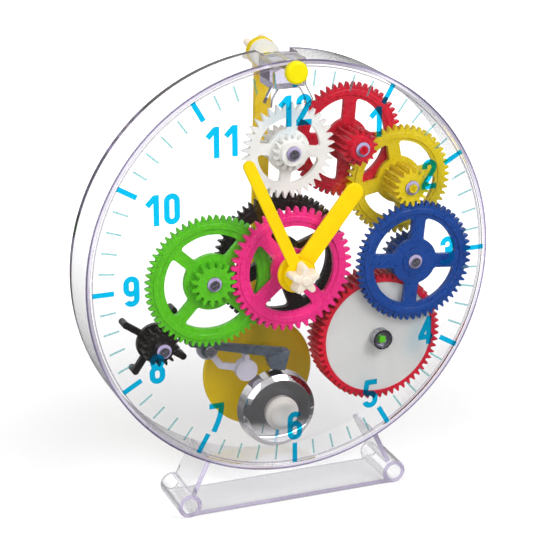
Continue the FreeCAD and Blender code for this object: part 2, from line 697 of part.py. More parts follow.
def click_spring():
    """The wire coil around the click screw, with the leg that presses on the click."""
    front = RATCHET_FRONT + RATCHET_THICKNESS
    inner = CLICK_SCREW_RADIUS + SMALL_GAP
    coil = tube(CLICK, inner + CLICK_SPRING_WIRE * 2, inner, front, front + CLICK_SPRING_WIRE * 5)
    start = toward(CLICK, inner + CLICK_SPRING_WIRE, 120)
    end = toward(BARREL, RATCHET_RADIUS + CLICK_ARM_WIDTH, RATCHET_FACE - 12)
    leg = strap(start, end, CLICK_SPRING_WIRE * 2, front, front + CLICK_SPRING_WIRE * 2)
    return joined([coil, leg])


def winding_key():
    """The green key behind the case."""
    hub = bar(BARREL, KEY_HUB_RADIUS, KEY_FRONT, KEY_BACK)
    hub = rounded_rims(hub, 1.0, KEY_BACK)
    wing_front = KEY_BACK - KEY_WING_HEIGHT
    base = Vector(BARREL[0] - KEY_SPAN / 2, y_of(wing_front), BARREL[1] - KEY_WING_THICKNESS / 2)
    wings = Part.makeBox(KEY_SPAN, KEY_WING_HEIGHT, KEY_WING_THICKNESS, base)
    upright = [edge for edge in wings.Edges if abs(edge.tangentAt(edge.FirstParameter).z) > 0.99]
    wings = wings.makeFillet(KEY_WING_HEIGHT * 0.45, upright)
    key = joined([hub, wings])
    return key.cut(bar(BARREL, BARREL_ARBOR_RADIUS, KEY_FRONT - 1, KEY_BACK))


def blue_wheel():
    """The large blue wheel whose pinion behind it is driven by the barrel."""
    wheel_back = BLUE_WHEEL_FRONT + BLUE_WHEEL_THICKNESS
    pinion_back = BLUE_PINION_FRONT + BLUE_PINION_LENGTH
    openings = windows(
        BLUE,
        BLUE_WINDOW_INNER,
        BLUE_WINDOW_OUTER,
        BLUE_SPOKE_WIDTH,
        BLUE_SPOKE_TURN,
        BLUE_WHEEL_FRONT,
        wheel_back,
    )
    wheel = spoked_wheel(BLUE, BLUE_TEETH, BLUE_TURN, BLUE_WHEEL_FRONT, wheel_back, openings)
    boss = bar(BLUE, BLUE_BOSS_RADIUS, HUB_FRONT, wheel_back)
    neck = bar(BLUE, BLUE_NECK_RADIUS, wheel_back, BLUE_PINION_FRONT)
    pinion = gear(BLUE, BLUE_PINION_TEETH, MODULE, BLUE_TURN, BLUE_PINION_FRONT, pinion_back)
    sleeve = bar(BLUE, SLEEVE_RADIUS, pinion_back, HUB_BACK)
    return bored(joined([wheel, boss, neck, pinion, sleeve]), BLUE, WHEEL_BORE, HUB_FRONT, HUB_BACK)


def yellow_wheel():
    """The yellow wheel near the back with its long pinion in front."""
    wheel_back = YELLOW_WHEEL_FRONT + YELLOW_WHEEL_THICKNESS
    openings = windows(
        YELLOW,
        YELLOW_WINDOW_INNER,
        YELLOW_WINDOW_OUTER,
        YELLOW_SPOKE_WIDTH,
        YELLOW_SPOKE_TURN,
        YELLOW_WHEEL_FRONT,
        wheel_back,
    )
    wheel = spoked_wheel(YELLOW, YELLOW_TEETH, YELLOW_TURN, YELLOW_WHEEL_FRONT, wheel_back, openings)
    pinion = gear(YELLOW, YELLOW_PINION_TEETH, MODULE, YELLOW_TURN, HUB_FRONT, YELLOW_WHEEL_FRONT)
    sleeve = bar(YELLOW, SLEEVE_RADIUS, wheel_back, HUB_BACK)
    return bored(joined([wheel, pinion, sleeve]), YELLOW, WHEEL_BORE, HUB_FRONT, HUB_BACK)


def red_wheel():
    """The red wheel at the back with its long pinion and smooth collar in front."""
    wheel_back = RED_WHEEL_FRONT + RED_WHEEL_THICKNESS
    openings = windows(
        RED,
        RED_WINDOW_INNER,
        RED_WINDOW_OUTER,
        RED_SPOKE_WIDTH,
        RED_SPOKE_TURN,
        RED_WHEEL_FRONT,
        wheel_back,
    )
    wheel = spoked_wheel(RED, RED_TEETH, RED_TURN, RED_WHEEL_FRONT, wheel_back, openings)
    collar_back = HUB_FRONT + RED_COLLAR_LENGTH
    collar = bar(RED, RED_COLLAR_RADIUS, HUB_FRONT, collar_back)
    pinion = gear(RED, RED_PINION_TEETH, MODULE, RED_TURN, collar_back, RED_WHEEL_FRONT)
    sleeve = bar(RED, SLEEVE_RADIUS, wheel_back, HUB_BACK)
    return bored(joined([wheel, collar, pinion, sleeve]), RED, WHEEL_BORE, HUB_FRONT, HUB_BACK)


def escape_wheel():
    """The white wheel with pointed teeth that the anchor lets by one at a time."""
    back = ESCAPE_WHEEL_FRONT + ESCAPE_WHEEL_THICKNESS
    pitch = 360 / ESCAPE_TEETH
    root = ESCAPE_RADIUS - ESCAPE_TOOTH_DEPTH
    tip_half = math.degrees(ESCAPE_TIP_WIDTH / 2 / ESCAPE_RADIUS)
    outline = []
    for number in range(ESCAPE_TEETH):
        middle = ESCAPE_TURN + pitch * number
        outline.append(toward(ESCAPE, root, middle - pitch * 0.4))
        outline.append(toward(ESCAPE, ESCAPE_RADIUS, middle - tip_half))
        outline.append(toward(ESCAPE, ESCAPE_RADIUS, middle + tip_half))
        outline.append(toward(ESCAPE, root, middle + pitch * 0.4))
    wheel = prism(outline, ESCAPE_WHEEL_FRONT, back)
    openings = windows(
        ESCAPE,
        ESCAPE_WINDOW_INNER,
        ESCAPE_WINDOW_OUTER,
        ESCAPE_SPOKE_WIDTH,
        ESCAPE_SPOKE_TURN,
        ESCAPE_WHEEL_FRONT,
        back,
    )
    wheel = wheel.cut(openings)
    hub = gear(ESCAPE, ESCAPE_PINION_TEETH, MODULE, ESCAPE_PINION_TURN, HUB_FRONT + RED_COLLAR_LENGTH, back)
    collar = bar(ESCAPE, RED_COLLAR_RADIUS, HUB_FRONT, HUB_FRONT + RED_COLLAR_LENGTH)
    sleeve = bar(ESCAPE, RED_COLLAR_RADIUS, back, ESCAPE_PINION_FRONT)
    pinion = gear(ESCAPE, ESCAPE_PINION_TEETH, MODULE, ESCAPE_PINION_TURN, ESCAPE_PINION_FRONT, HUB_BACK)
    return bored(joined([wheel, hub, collar, sleeve, pinion]), ESCAPE, WHEEL_BORE, HUB_FRONT, HUB_BACK)


def centre_wheel():
    """The black wheel behind the hands, driven by the barrel."""
    wheel_back = CENTRE_WHEEL_FRONT + CENTRE_WHEEL_THICKNESS
    openings = windows(
        CENTRE,
        CENTRE_WINDOW_INNER,
        CENTRE_WINDOW_OUTER,
        CENTRE_SPOKE_WIDTH,
        CENTRE_SPOKE_TURN,
        CENTRE_WHEEL_FRONT,
        wheel_back,
    )
    wheel = spoked_wheel(CENTRE, CENTRE_TEETH, CENTRE_TURN, CENTRE_WHEEL_FRONT, wheel_back, openings)
    hub = bar(CENTRE, SLEEVE_RADIUS, MINUTE_PINION_FRONT + MINUTE_PINION_LENGTH, CENTRE_HUB_BACK)
    return bored(joined([wheel, hub]), CENTRE, MINUTE_ARBOR_RADIUS, HUB_FRONT, wheel_back + 1)


def minute_arbor():
    """The shaft through the clock that turns once an hour."""
    return bar(CENTRE, MINUTE_ARBOR_RADIUS, KNOB_FRONT + SCREW_HEAD_HEIGHT, CASE_DEPTH - SMALL_GAP)


def minute_pinion():
    """The small pinion on the minute shaft that drives the green wheel."""
    back = MINUTE_PINION_FRONT + MINUTE_PINION_LENGTH
    pinion = gear(CENTRE, MINUTE_PINION_TEETH, MODULE, MINUTE_TURN, MINUTE_PINION_FRONT, back)
    return bored(pinion, CENTRE, MINUTE_ARBOR_RADIUS, MINUTE_PINION_FRONT, back)


def green_wheel():
    """The green wheel and its pinion, between the minute shaft and the hour wheel."""
    back = GREEN_WHEEL_FRONT + GREEN_WHEEL_THICKNESS
    openings = windows(
        GREEN,
        GREEN_WINDOW_INNER,
        GREEN_WINDOW_OUTER,
        GREEN_SPOKE_WIDTH,
        GREEN_SPOKE_TURN,
        GREEN_WHEEL_FRONT,
        back,
    )
    wheel = spoked_wheel(GREEN, GREEN_TEETH, GREEN_TURN, GREEN_WHEEL_FRONT, back, openings)
    pinion = gear(GREEN, GREEN_PINION_TEETH, HOUR_MODULE, GREEN_TURN, HUB_FRONT, GREEN_WHEEL_FRONT)
    sleeve = bar(GREEN, SLEEVE_RADIUS, back, HUB_BACK)
    return bored(joined([wheel, pinion, sleeve]), GREEN, WHEEL_BORE, HUB_FRONT, HUB_BACK)


def hour_wheel():
    """The pink wheel whose tube carries the hour hand."""
    back = HOUR_WHEEL_FRONT + HOUR_WHEEL_THICKNESS
    openings = windows(
        CENTRE,
        HOUR_WINDOW_INNER,
        HOUR_WINDOW_OUTER,
        HOUR_SPOKE_WIDTH,
        HOUR_SPOKE_TURN,
        HOUR_WHEEL_FRONT,
        back,
    )
    wheel = spoked_wheel(CENTRE, HOUR_TEETH, HOUR_TURN, HOUR_WHEEL_FRONT, back, openings, HOUR_MODULE)
    hub = bar(CENTRE, HOUR_HUB_RADIUS, HOUR_WHEEL_FRONT, back + END_FLOAT / 2)
    cannon = bar(CENTRE, CANNON_RADIUS, HOUR_HAND_FRONT - SMALL_GAP, back)
    bore = MINUTE_ARBOR_RADIUS + SHAFT_CLEARANCE
    return bored(joined([wheel, hub, cannon]), CENTRE, bore, HOUR_HAND_FRONT, back + 1)


def hand(length, width, hub_radius, bore, clock_angle, front, thickness):
    """A flat round-ended hand with a hub, at an angle clockwise from 12 o'clock."""
    tip = toward(CENTRE, length - width / 2, 90 - clock_angle)
    blade = strap(CENTRE, tip, width, front, front + thickness)
    hub = bar(CENTRE, hub_radius, front, front + thickness)
    return bored(joined([blade, hub]), CENTRE, bore, front, front + thickness)


def hour_hand():
    """The broad short hand on the tube of the hour wheel."""
    return hand(
        HOUR_HAND_LENGTH,
        HOUR_HAND_WIDTH,
        HOUR_HAND_HUB,
        CANNON_RADIUS,
        HOUR_HAND_CLOCK_ANGLE,
        HOUR_HAND_FRONT,
        HOUR_HAND_THICKNESS,
    )


def minute_hand():
    """The narrow long hand on the minute shaft."""
    return hand(
        MINUTE_HAND_LENGTH,
        MINUTE_HAND_WIDTH,
        MINUTE_HAND_HUB,
        MINUTE_ARBOR_RADIUS,
        MINUTE_HAND_CLOCK_ANGLE,
        MINUTE_HAND_FRONT,
        MINUTE_HAND_THICKNESS,
    )


def star_knob(point, radius, lobes, front, back):
    """A knob with round lobes."""
    core = bar(point, radius * KNOB_CORE_SHARE, front, back)
    pieces = [core]
    for number in range(lobes):
        lobe_at = toward(point, radius * KNOB_LOBE_SHARE, 90 + 360 * number / lobes)
        pieces.append(strap(point, lobe_at, radius * (1 - KNOB_LOBE_SHARE) * 2, front, back))
    return joined(pieces)


def hand_knob():
    """The pale star knob that sets the hands."""
    knob = star_knob(CENTRE, KNOB_RADIUS, KNOB_LOBES, KNOB_FRONT, MINUTE_HAND_FRONT)
    socket = bar(CENTRE, MINUTE_ARBOR_RADIUS, KNOB_FRONT + SCREW_HEAD_HEIGHT, MINUTE_HAND_FRONT + 1)
    return knob.cut(socket)


# Escapement and pendulum
def pallet_arbor():
    """The shaft that the anchor and the pendulum share."""
    front = HEAD_BACK - ARBOR_HEAD_THICKNESS / 2
    return bar(PALLET, PALLET_ARBOR_RADIUS, front, KNOB_SEAT + PENDULUM_KNOB_LENGTH / 2)


def pallet_anchor():
    """The clear block over the escape wheel, with one nose on each side."""
    back = ANCHOR_FRONT + ANCHOR_THICKNESS
    half_width = ANCHOR_WIDTH / 2
    left = PALLET[0] - half_width
    right = PALLET[0] + half_width
    top = PALLET[1] + PALLET_ARBOR_RADIUS + 1
    bottom = top - ANCHOR_HEIGHT
    block_back = PLATE_FRONT - ANCHOR_BACK_ROOM
    block = prism([(left, top), (right, top), (right, bottom), (left, bottom)], ANCHOR_FRONT, block_back)
    half_span = PALLET_SPAN_TEETH * 360 / ESCAPE_TEETH / 2
    reach = ESCAPE_RADIUS + PALLET_CLEARANCE
    pieces = [block]
    for side in (-1, 1):
        nose = 90 - side * half_span
        tip_half = math.degrees(PALLET_TIP_WIDTH / 2 / reach)
        root_half = math.degrees(PALLET_LEG_WIDTH / 2 / reach)
        shoulder = reach + ESCAPE_TOOTH_DEPTH
        outline = [
            toward(ESCAPE, reach, nose - tip_half),
            toward(ESCAPE, shoulder, nose - root_half),
            (PALLET[0] + side * half_width, bottom + 1),
            (PALLET[0] + side * (half_width - PALLET_LEG_WIDTH), bottom + 1),
            toward(ESCAPE, shoulder, nose + root_half),
            toward(ESCAPE, reach, nose + tip_half),
        ]
        if side < 0:
            outline[2], outline[3] = outline[3], outline[2]
        pieces.append(prism(outline, ANCHOR_FRONT, back))
    return bored(joined(pieces), PALLET, PALLET_ARBOR_RADIUS, ANCHOR_FRONT, block_back)


def arbor_head():
    """The round yellow head on the front of the pallet shaft."""
    front = HEAD_BACK - ARBOR_HEAD_THICKNESS
    head = rounded_rims(bar(PALLET, ARBOR_HEAD_RADIUS, front, HEAD_BACK), ARBOR_HEAD_THICKNESS * 0.45, front)
    return head.cut(bar(PALLET, PALLET_ARBOR_RADIUS, HEAD_BACK - ARBOR_HEAD_THICKNESS / 2, HEAD_BACK + 1))


def pendulum_collar():
    """The pale collar in front of the pendulum."""
    front = PENDULUM_FRONT - COLLAR_LENGTH
    return tube(PALLET, COLLAR_RADIUS, PALLET_ARBOR_RADIUS, front, PENDULUM_FRONT)


def pendulum_rod():
    """The yellow rod, a shallow channel from the eye to the bob."""
    back = PENDULUM_FRONT + PENDULUM_THICKNESS
    upward = 90 - PENDULUM_LEAN
    blade = strap(PALLET, toward(BOB, BOB_RADIUS * 0.25, upward), PENDULUM_WIDTH, PENDULUM_FRONT, back)
    groove_top = toward(PALLET, -PENDULUM_EYE_RADIUS - 4, upward)
    groove_foot = toward(BOB, BOB_RADIUS + 3, upward)
    groove_width = PENDULUM_WIDTH - PENDULUM_WEB * 2
    groove = strap(groove_top, groove_foot, groove_width, PENDULUM_FRONT + PENDULUM_WEB, back + 1)
    eye = bar(PALLET, PENDULUM_EYE_RADIUS, PENDULUM_FRONT, back)
    slot = bar(BOB, BOB_RADIUS + SHAFT_CLEARANCE, PENDULUM_FRONT - 1, PENDULUM_FRONT + BOB_THICKNESS / 2)
    rod = joined([blade, eye]).cut([groove, slot])
    return bored(rod, PALLET, PALLET_ARBOR_RADIUS, PENDULUM_FRONT, back)


def pendulum_bob():
    """The yellow disc at the foot of the pendulum."""
    back = PENDULUM_FRONT + BOB_THICKNESS / 2
    front = back - BOB_THICKNESS
    disc = rounded_rims(bar(BOB, BOB_RADIUS, front, back), BOB_THICKNESS * 0.3, front)
    return disc


def pendulum_knob():
    """The pale star knob that clamps the pendulum on its shaft."""
    knob = star_knob(PALLET, PENDULUM_KNOB_RADIUS, KNOB_LOBES, KNOB_SEAT, KNOB_SEAT + PENDULUM_KNOB_LENGTH)
    return knob.cut(bar(PALLET, PALLET_ARBOR_RADIUS, KNOB_SEAT - 1, KNOB_SEAT + PENDULUM_KNOB_LENGTH / 2))


# Striking
def striker_wheel():
    """The black pinion with four pinned arms that lift the hammer."""
    pinion_back = STRIKER_FRONT + STRIKER_PINION_LENGTH
    disc_back = pinion_back + STRIKER_DISC_THICKNESS
    pieces = [gear(STRIKER, STRIKER_TEETH, MODULE, STRIKER_TURN, STRIKER_FRONT, pinion_back)]
    pieces.append(bar(STRIKER, STRIKER_DISC_RADIUS, pinion_back, disc_back))
    pieces.append(bar(STRIKER, SLEEVE_RADIUS, disc_back, HUB_BACK))
    for number in range(ARM_COUNT):
        direction = ARM_TURN + 360 * number / ARM_COUNT
        end = toward(STRIKER, ARM_RADIUS - ARM_PIN_RADIUS, direction)
        pieces.append(strap(STRIKER, end, ARM_WIDTH, disc_back, ARM_BACK))
        pieces.append(bar(end, ARM_PIN_RADIUS, disc_back, ARM_BACK + ARM_PIN_LENGTH))
    return bored(joined(pieces), STRIKER, WHEEL_BORE, STRIKER_FRONT, HUB_BACK)


def bell():
    """The chrome dome, open towards the back plate."""
    back = BELL_FRONT + BELL_HEIGHT
    outside = rounded_rims(bar(BELL, BELL_RADIUS, BELL_FRONT, back), BELL_ROUNDING, BELL_FRONT)
    inner_front = BELL_FRONT + BELL_WALL
    inside = rounded_rims(
        bar(BELL, BELL_RADIUS - BELL_WALL, inner_front, back + 1), BELL_ROUNDING - BELL_WALL, inner_front
    )
    return bored(outside.cut(inside), BELL, BELL_STEM_RADIUS, BELL_FRONT, back)


def bell_cap():
    """The grey cap whose stem holds the bell on its post."""
    front = BELL_FRONT - BELL_CAP_HEIGHT
    cap = rounded_rims(bar(BELL, BELL_CAP_RADIUS, front, BELL_FRONT), BELL_CAP_HEIGHT * 0.4, front)
    stem = bar(BELL, BELL_STEM_RADIUS, BELL_FRONT, BELL_FRONT + BELL_WALL + BELL_STEM_LENGTH)
    return joined([cap, stem])


def hammer_tail():
    """The end of the lever, just outside the circle that the arms sweep."""
    return toward(STRIKER, ARM_RADIUS + SMALL_GAP + HAMMER_TAIL_RADIUS, HAMMER_TAIL_DIRECTION)


def hammer_corners():
    """The corners of the lever and its head, from the top of the tail round to its bottom."""
    tail = hammer_tail()
    along = math.degrees(math.atan2(ELBOW[1] - tail[1], ELBOW[0] - tail[0]))
    foot = toward(BELL, BELL_RADIUS + HAMMER_LIFT, HAMMER_HEAD_DIRECTION)
    heel = toward(foot, HAMMER_HEAD_WIDTH, 180 - HAMMER_HEAD_SLOPE)
    neck = toward(heel, HAMMER_HEAD_HEIGHT, 90 + HAMMER_HEAD_FLARE)
    tail_top = toward(tail, HAMMER_TAIL_RADIUS, along + 90)
    tail_bottom = toward(tail, HAMMER_TAIL_RADIUS, along - 90)
    return [tail_top, ELBOW, foot, heel, neck, tail_bottom]


def hammer():
    """The grey lever from its tail beside the arms to its wedge-shaped head over the bell."""
    back = HAMMER_FRONT + HAMMER_THICKNESS
    corners = hammer_corners()
    pieces = [
        prism(corners, HAMMER_FRONT, back),
        prism(corners[1:5], back - HAMMER_HEAD_DEPTH, back),
        bar(hammer_tail(), HAMMER_TAIL_RADIUS, HAMMER_FRONT, back),
        bar(HAMMER, HAMMER_EYE_RADIUS, HAMMER_FRONT, back),
    ]
    return bored(joined(pieces), HAMMER, HAMMER_PIN_RADIUS + SHAFT_CLEARANCE, HAMMER_FRONT, back)


def hammer_pin():
    """The steel pin that the hammer turns on."""
    head_back = HAMMER_FRONT - SMALL_GAP
    head = bar(HAMMER, HAMMER_PIN_RADIUS * 1.9, head_back - SCREW_HEAD_HEIGHT, head_back)
    head = rounded_rims(head, SCREW_HEAD_HEIGHT * 0.5, head_back - SCREW_HEAD_HEIGHT)
    shank = bar(HAMMER, HAMMER_PIN_RADIUS, head_back, CASE_DEPTH - SMALL_GAP)
    return joined([head, shank])


def hammer_bracket():
    """The clear bracket behind the hammer, with the finger that the lever rests over."""
    front = HAMMER_FRONT + HAMMER_THICKNESS + SMALL_GAP
    middle = ((HAMMER[0] + BRACKET[0]) / 2 - 3, (HAMMER[1] + BRACKET[1]) / 2 - 3)
    neck, tail_bottom = hammer_corners()[4:]
    slope = (neck[1] - tail_bottom[1]) / (neck[0] - tail_bottom[0])
    under = neck[1] + slope * (BRACKET[0] - neck[0])
    finger_top = (BRACKET[0], under - (SMALL_GAP + STOP_WIDTH / 2) * math.hypot(1, slope))
    pieces = [
        bar(HAMMER, BRACKET_BOSS_RADIUS, front, PLATE_FRONT),
        bar(BRACKET, BRACKET_BOSS_RADIUS, HAMMER_FRONT, PLATE_FRONT),
        strap(HAMMER, middle, BRACKET_WEB, front, PLATE_FRONT),
        strap(middle, BRACKET, BRACKET_WEB, front, PLATE_FRONT),
        strap(BRACKET, finger_top, STOP_WIDTH, HAMMER_FRONT, PLATE_FRONT),
    ]
    return bored(joined(pieces), HAMMER, HAMMER_PIN_RADIUS, front, PLATE_FRONT)


PIECES = [
    case_back,
    front_cover,
    cover_screws,
    stand,
    barrel,
    barrel_cover,
    mainspring,
    barrel_arbor,
    barrel_bush,
    arbor_clip,
    ratchet_wheel,
    click,
    click_screw,
    click_spring,
    winding_key,
    blue_wheel,
    yellow_wheel,
    red_wheel,
    escape_wheel,
    centre_wheel,
    minute_arbor,
    minute_pinion,
    green_wheel,
    hour_wheel,
    hour_hand,
    minute_hand,
    hand_knob,
    pallet_arbor,
    pallet_anchor,
    arbor_head,
    pendulum_collar,
    pendulum_rod,
    pendulum_bob,
    pendulum_knob,
    striker_wheel,
    bell,
    bell_cap,
    hammer,
    hammer_pin,
    hammer_bracket,
]

os.makedirs("parts", exist_ok=True)
for piece in PIECES:
    write(piece.__name__, piece())
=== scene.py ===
# %% [markdown]
# # A geared teaching clock
#
# The clock is a kit for a classroom: a clear round case on a clear stand, bright moulded wheels that
# turn on clear posts, a printed dial, a bell and a pendulum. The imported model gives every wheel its
# exact teeth and place, so this notebook keeps those shapes and gives them their finishes. Pieces
# whose shape is softer than plain solids can say, such as the hands, the knobs and the bell, are
# modelled again here, and the printing of the dial is added.

# %% Load the frame
import json
import math

import bmesh
import bpy
from mathutils import Matrix, Vector


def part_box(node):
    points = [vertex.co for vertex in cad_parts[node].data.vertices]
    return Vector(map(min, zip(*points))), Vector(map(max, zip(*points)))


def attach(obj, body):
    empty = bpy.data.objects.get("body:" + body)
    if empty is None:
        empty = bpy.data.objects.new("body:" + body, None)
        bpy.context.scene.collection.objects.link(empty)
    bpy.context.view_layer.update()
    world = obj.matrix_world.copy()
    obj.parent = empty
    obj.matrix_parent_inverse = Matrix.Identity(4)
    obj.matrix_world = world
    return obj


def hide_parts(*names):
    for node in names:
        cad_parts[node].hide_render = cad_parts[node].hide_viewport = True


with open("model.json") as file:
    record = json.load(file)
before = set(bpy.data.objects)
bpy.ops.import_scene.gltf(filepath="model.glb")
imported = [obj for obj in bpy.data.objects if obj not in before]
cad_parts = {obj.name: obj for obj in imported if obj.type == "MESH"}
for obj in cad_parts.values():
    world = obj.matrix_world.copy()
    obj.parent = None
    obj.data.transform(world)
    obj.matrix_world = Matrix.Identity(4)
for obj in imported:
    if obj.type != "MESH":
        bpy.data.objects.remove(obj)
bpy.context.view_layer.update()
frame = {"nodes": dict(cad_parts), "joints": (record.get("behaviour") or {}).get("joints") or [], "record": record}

nodes = frame["nodes"]
MM = 0.001


# %% [markdown]
# ## Measures
#
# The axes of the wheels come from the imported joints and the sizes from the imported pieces, so the lesson
# still fits when the clock's maker changes one of them. Depths are y values: the front rim of the case
# is the lowest y of its box, and the clear cover sits a fifth of a millimetre behind that rim.

# %% Measures of the dial
case_low, case_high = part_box("case_back")
RIM_FACE = case_low.y
DIAL_RADIUS = (case_high.x - case_low.x) / 2
COVER_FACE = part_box("front_cover")[0].y


def middle_of(node):
    """The middle of a node's box."""
    low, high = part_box(node)
    return (low + high) / 2


def axis_of(joint_name):
    """Where the axis of a joint crosses the plane of the dial, as x and z."""
    for joint in frame["joints"]:
        if joint["name"] == joint_name:
            return joint["pos_m"][0], joint["pos_m"][2]
    raise ValueError(joint_name)


DIAL_HEIGHT = axis_of("minute_hand_turn")[1]
print("dial radius and height in mm:", round(DIAL_RADIUS / MM, 1), round(DIAL_HEIGHT / MM, 1))


# %% [markdown]
# ## Colours and nodes
#
# Paint charts give colours as sRGB hex values, but light adds up in linear numbers, so one function
# turns the one into the other. A second one adds a node with its settings and fills its sockets, with
# a value or with a link from another node.


# %% Helpers for materials
def linear(hex_colour):
    """An sRGB hex colour as linear red, green and blue with full alpha."""
    channels = [int(hex_colour[start : start + 2], 16) / 255 for start in (1, 3, 5)]
    bent = [c / 12.92 if c <= 0.04045 else ((c + 0.055) / 1.055) ** 2.4 for c in channels]
    return (*bent, 1.0)


def start_material(name):
    """An empty node material."""
    material = bpy.data.materials.new(name)
    material.use_nodes = True
    material.node_tree.nodes.clear()
    return material


def add(tree, kind, inputs=None, **settings):
    """Adds a node with its settings, and fills its sockets with values or links."""
    made = tree.nodes.new(kind)
    for name, value in settings.items():
        setattr(made, name, value)
    for socket, value in (inputs or {}).items():
        if isinstance(value, bpy.types.NodeSocket):
            tree.links.new(value, made.inputs[socket])
        else:
            made.inputs[socket].default_value = value
    return made


def finish_material(tree, surface, volume=None):
    """Joins a shader, and a volume if there is one, to the material's output."""
    output = add(tree, "ShaderNodeOutputMaterial", {"Surface": surface})
    if volume is not None:
        tree.links.new(volume, output.inputs["Volume"])


def per_mm(size_in_mm):
    """The scale that makes a noise pattern's features about this many millimetres across."""
    return 1 / (size_in_mm * MM)


# %% [markdown]
# ## Moulded plastic
#
# The wheels, hands and levers are injection moulded polystyrene, coloured right through. Such a part
# is glossy but never perfectly flat: the surface has a faint ripple two or three millimetres wide
# where it cooled, the colour is a touch uneven where the melt flowed, and every edge is slightly
# round, because the mould's edges are. The ripple is a bump of about a hundredth of a millimetre. The
# round edges come from a bevel in the shader, about 0.2 mm wide, which catches light along the teeth as
# the real edges do. The hands, the head of the arbor and the pendulum look flatter in the light than
# the wheels, so they get a lower index, and the pendulum is thin enough to let some light through.


# %% Moulded plastic
FLOW_MM = 9
RUBBED_MM = 3.5
RIPPLE_MM = 2.6
RIPPLE_HEIGHT = 0.02 * MM
MOULD_EDGE = 0.22 * MM
SCATTER_DEPTH = 0.8 * MM
GLOSSY_INDEX = 1.52
FLATTER_INDEX = 1.3


def moulded_plastic(name, colour, shade, roughness=0.28, softness=0.0, index=GLOSSY_INDEX, through=0.0):
    """A moulded plastic whose colour drifts a little towards a shade of itself.

    Softness is the share of light that scatters inside, and through the share that comes out behind.
    """
    material = start_material(name)
    tree = material.node_tree
    place = add(tree, "ShaderNodeTexCoord").outputs["Object"]
    flow = add(
        tree,
        "ShaderNodeTexNoise",
        {"Vector": place, "Scale": per_mm(FLOW_MM), "Detail": 3.0, "Roughness": 0.6},
    )
    drift = add(
        tree,
        "ShaderNodeMapRange",
        {"Value": flow.outputs["Fac"], "From Min": 0.35, "From Max": 0.7, "To Min": 0.0, "To Max": 0.5},
    )
    tint = add(
        tree,
        "ShaderNodeMix",
        {0: drift.outputs["Result"], 6: linear(colour), 7: linear(shade)},
        data_type="RGBA",
    )
    rubbed = add(
        tree,
        "ShaderNodeTexNoise",
        {"Vector": place, "Scale": per_mm(RUBBED_MM), "Detail": 5.0, "Roughness": 0.65},
    )
    gloss = add(
        tree,
        "ShaderNodeMapRange",
        {
            "Value": rubbed.outputs["Fac"],
            "From Min": 0.3,
            "From Max": 0.75,
            "To Min": roughness - 0.06,
            "To Max": roughness + 0.1,
        },
    )
    ripple = add(tree, "ShaderNodeTexNoise", {"Vector": place, "Scale": per_mm(RIPPLE_MM), "Detail": 1.5})
    edge = add(tree, "ShaderNodeBevel", {"Radius": MOULD_EDGE}, samples=3)
    bump = add(
        tree,
        "ShaderNodeBump",
        {
            "Strength": 0.35,
            "Distance": RIPPLE_HEIGHT,
            "Height": ripple.outputs["Fac"],
            "Normal": edge.outputs["Normal"],
        },
    )
    plastic = add(
        tree,
        "ShaderNodeBsdfPrincipled",
        {
            "Base Color": tint.outputs[2],
            "Roughness": gloss.outputs["Result"],
            "IOR": index,
            "Normal": bump.outputs["Normal"],
            "Subsurface Weight": softness,
            "Subsurface Scale": SCATTER_DEPTH,
            "Subsurface Radius": (1.0, 0.7, 0.5),
        },
    )
    surface = plastic.outputs["BSDF"]
    if through > 0.0:
        thin = add(tree, "ShaderNodeBsdfTranslucent", {"Color": tint.outputs[2]})
        surface = add(
            tree, "ShaderNodeMixShader", {0: through, 1: surface, 2: thin.outputs["BSDF"]}
        ).outputs["Shader"]
    finish_material(tree, surface)
    return material


red_plastic = moulded_plastic("red moulded polystyrene", "#D4062C", "#B20423")
blue_plastic = moulded_plastic("blue moulded polystyrene", "#054294", "#043476")
green_plastic = moulded_plastic("green moulded polystyrene", "#5AC410", "#48AC08")
pink_plastic = moulded_plastic("pink moulded polystyrene", "#F5288A", "#E21A74")
yellow_plastic = moulded_plastic("yellow moulded polystyrene", "#E4CC04", "#CDB200")
hand_plastic = moulded_plastic(
    "warm yellow moulded polystyrene", "#FFDC00", "#FBCB00", 0.34, index=FLATTER_INDEX
)
head_plastic = moulded_plastic(
    "lemon yellow moulded polystyrene", "#FAEC00", "#EEDA00", 0.34, index=FLATTER_INDEX
)
# painted light: the pendulum's yellow is set brighter than the hands' to make up for the shade of the wheels in
# front of it
bob_plastic = moulded_plastic(
    "ochre yellow moulded polystyrene", "#FFE400", "#FFD800", 0.4, index=FLATTER_INDEX, through=0.25
)
black_plastic = moulded_plastic("black moulded polystyrene", "#17130F", "#0C0A0A", 0.24)
white_plastic = moulded_plastic("white moulded polystyrene", "#F2F1EC", "#E6E4DC", 0.3)
disc_plastic = moulded_plastic("pale grey moulded polystyrene", "#D6D7D3", "#CBCCC8", 0.4)
grey_plastic = moulded_plastic("slate grey moulded polystyrene", "#56606C", "#48515B")
cap_plastic = moulded_plastic("light grey moulded polystyrene", "#CDC9C3", "#BEB9B2", 0.34)
cream_plastic = moulded_plastic("cream moulded nylon", "#F6EADB", "#EBD9C0", 0.36, 0.35)
print("moulded plastics:", len(bpy.data.materials))

# %% [markdown]
# ## Clear polystyrene
#
# The case, its cover and the stand are clear polystyrene about 2 mm thick. Looked through, it is
# almost colourless. Looked at along its length, as at a rim or the end of a tube, the faint violet
# tint that makers add adds up over many millimetres and the edge glows lavender. A volume that takes
# up a little light per millimetre gives both at once. Lamps have to reach the wheels behind it, so for
# shadow rays the surface is plainly transparent. The cover rests on a ledge inside the rim, which shows
# through it as a fine grey line a few millimetres in from the edge.


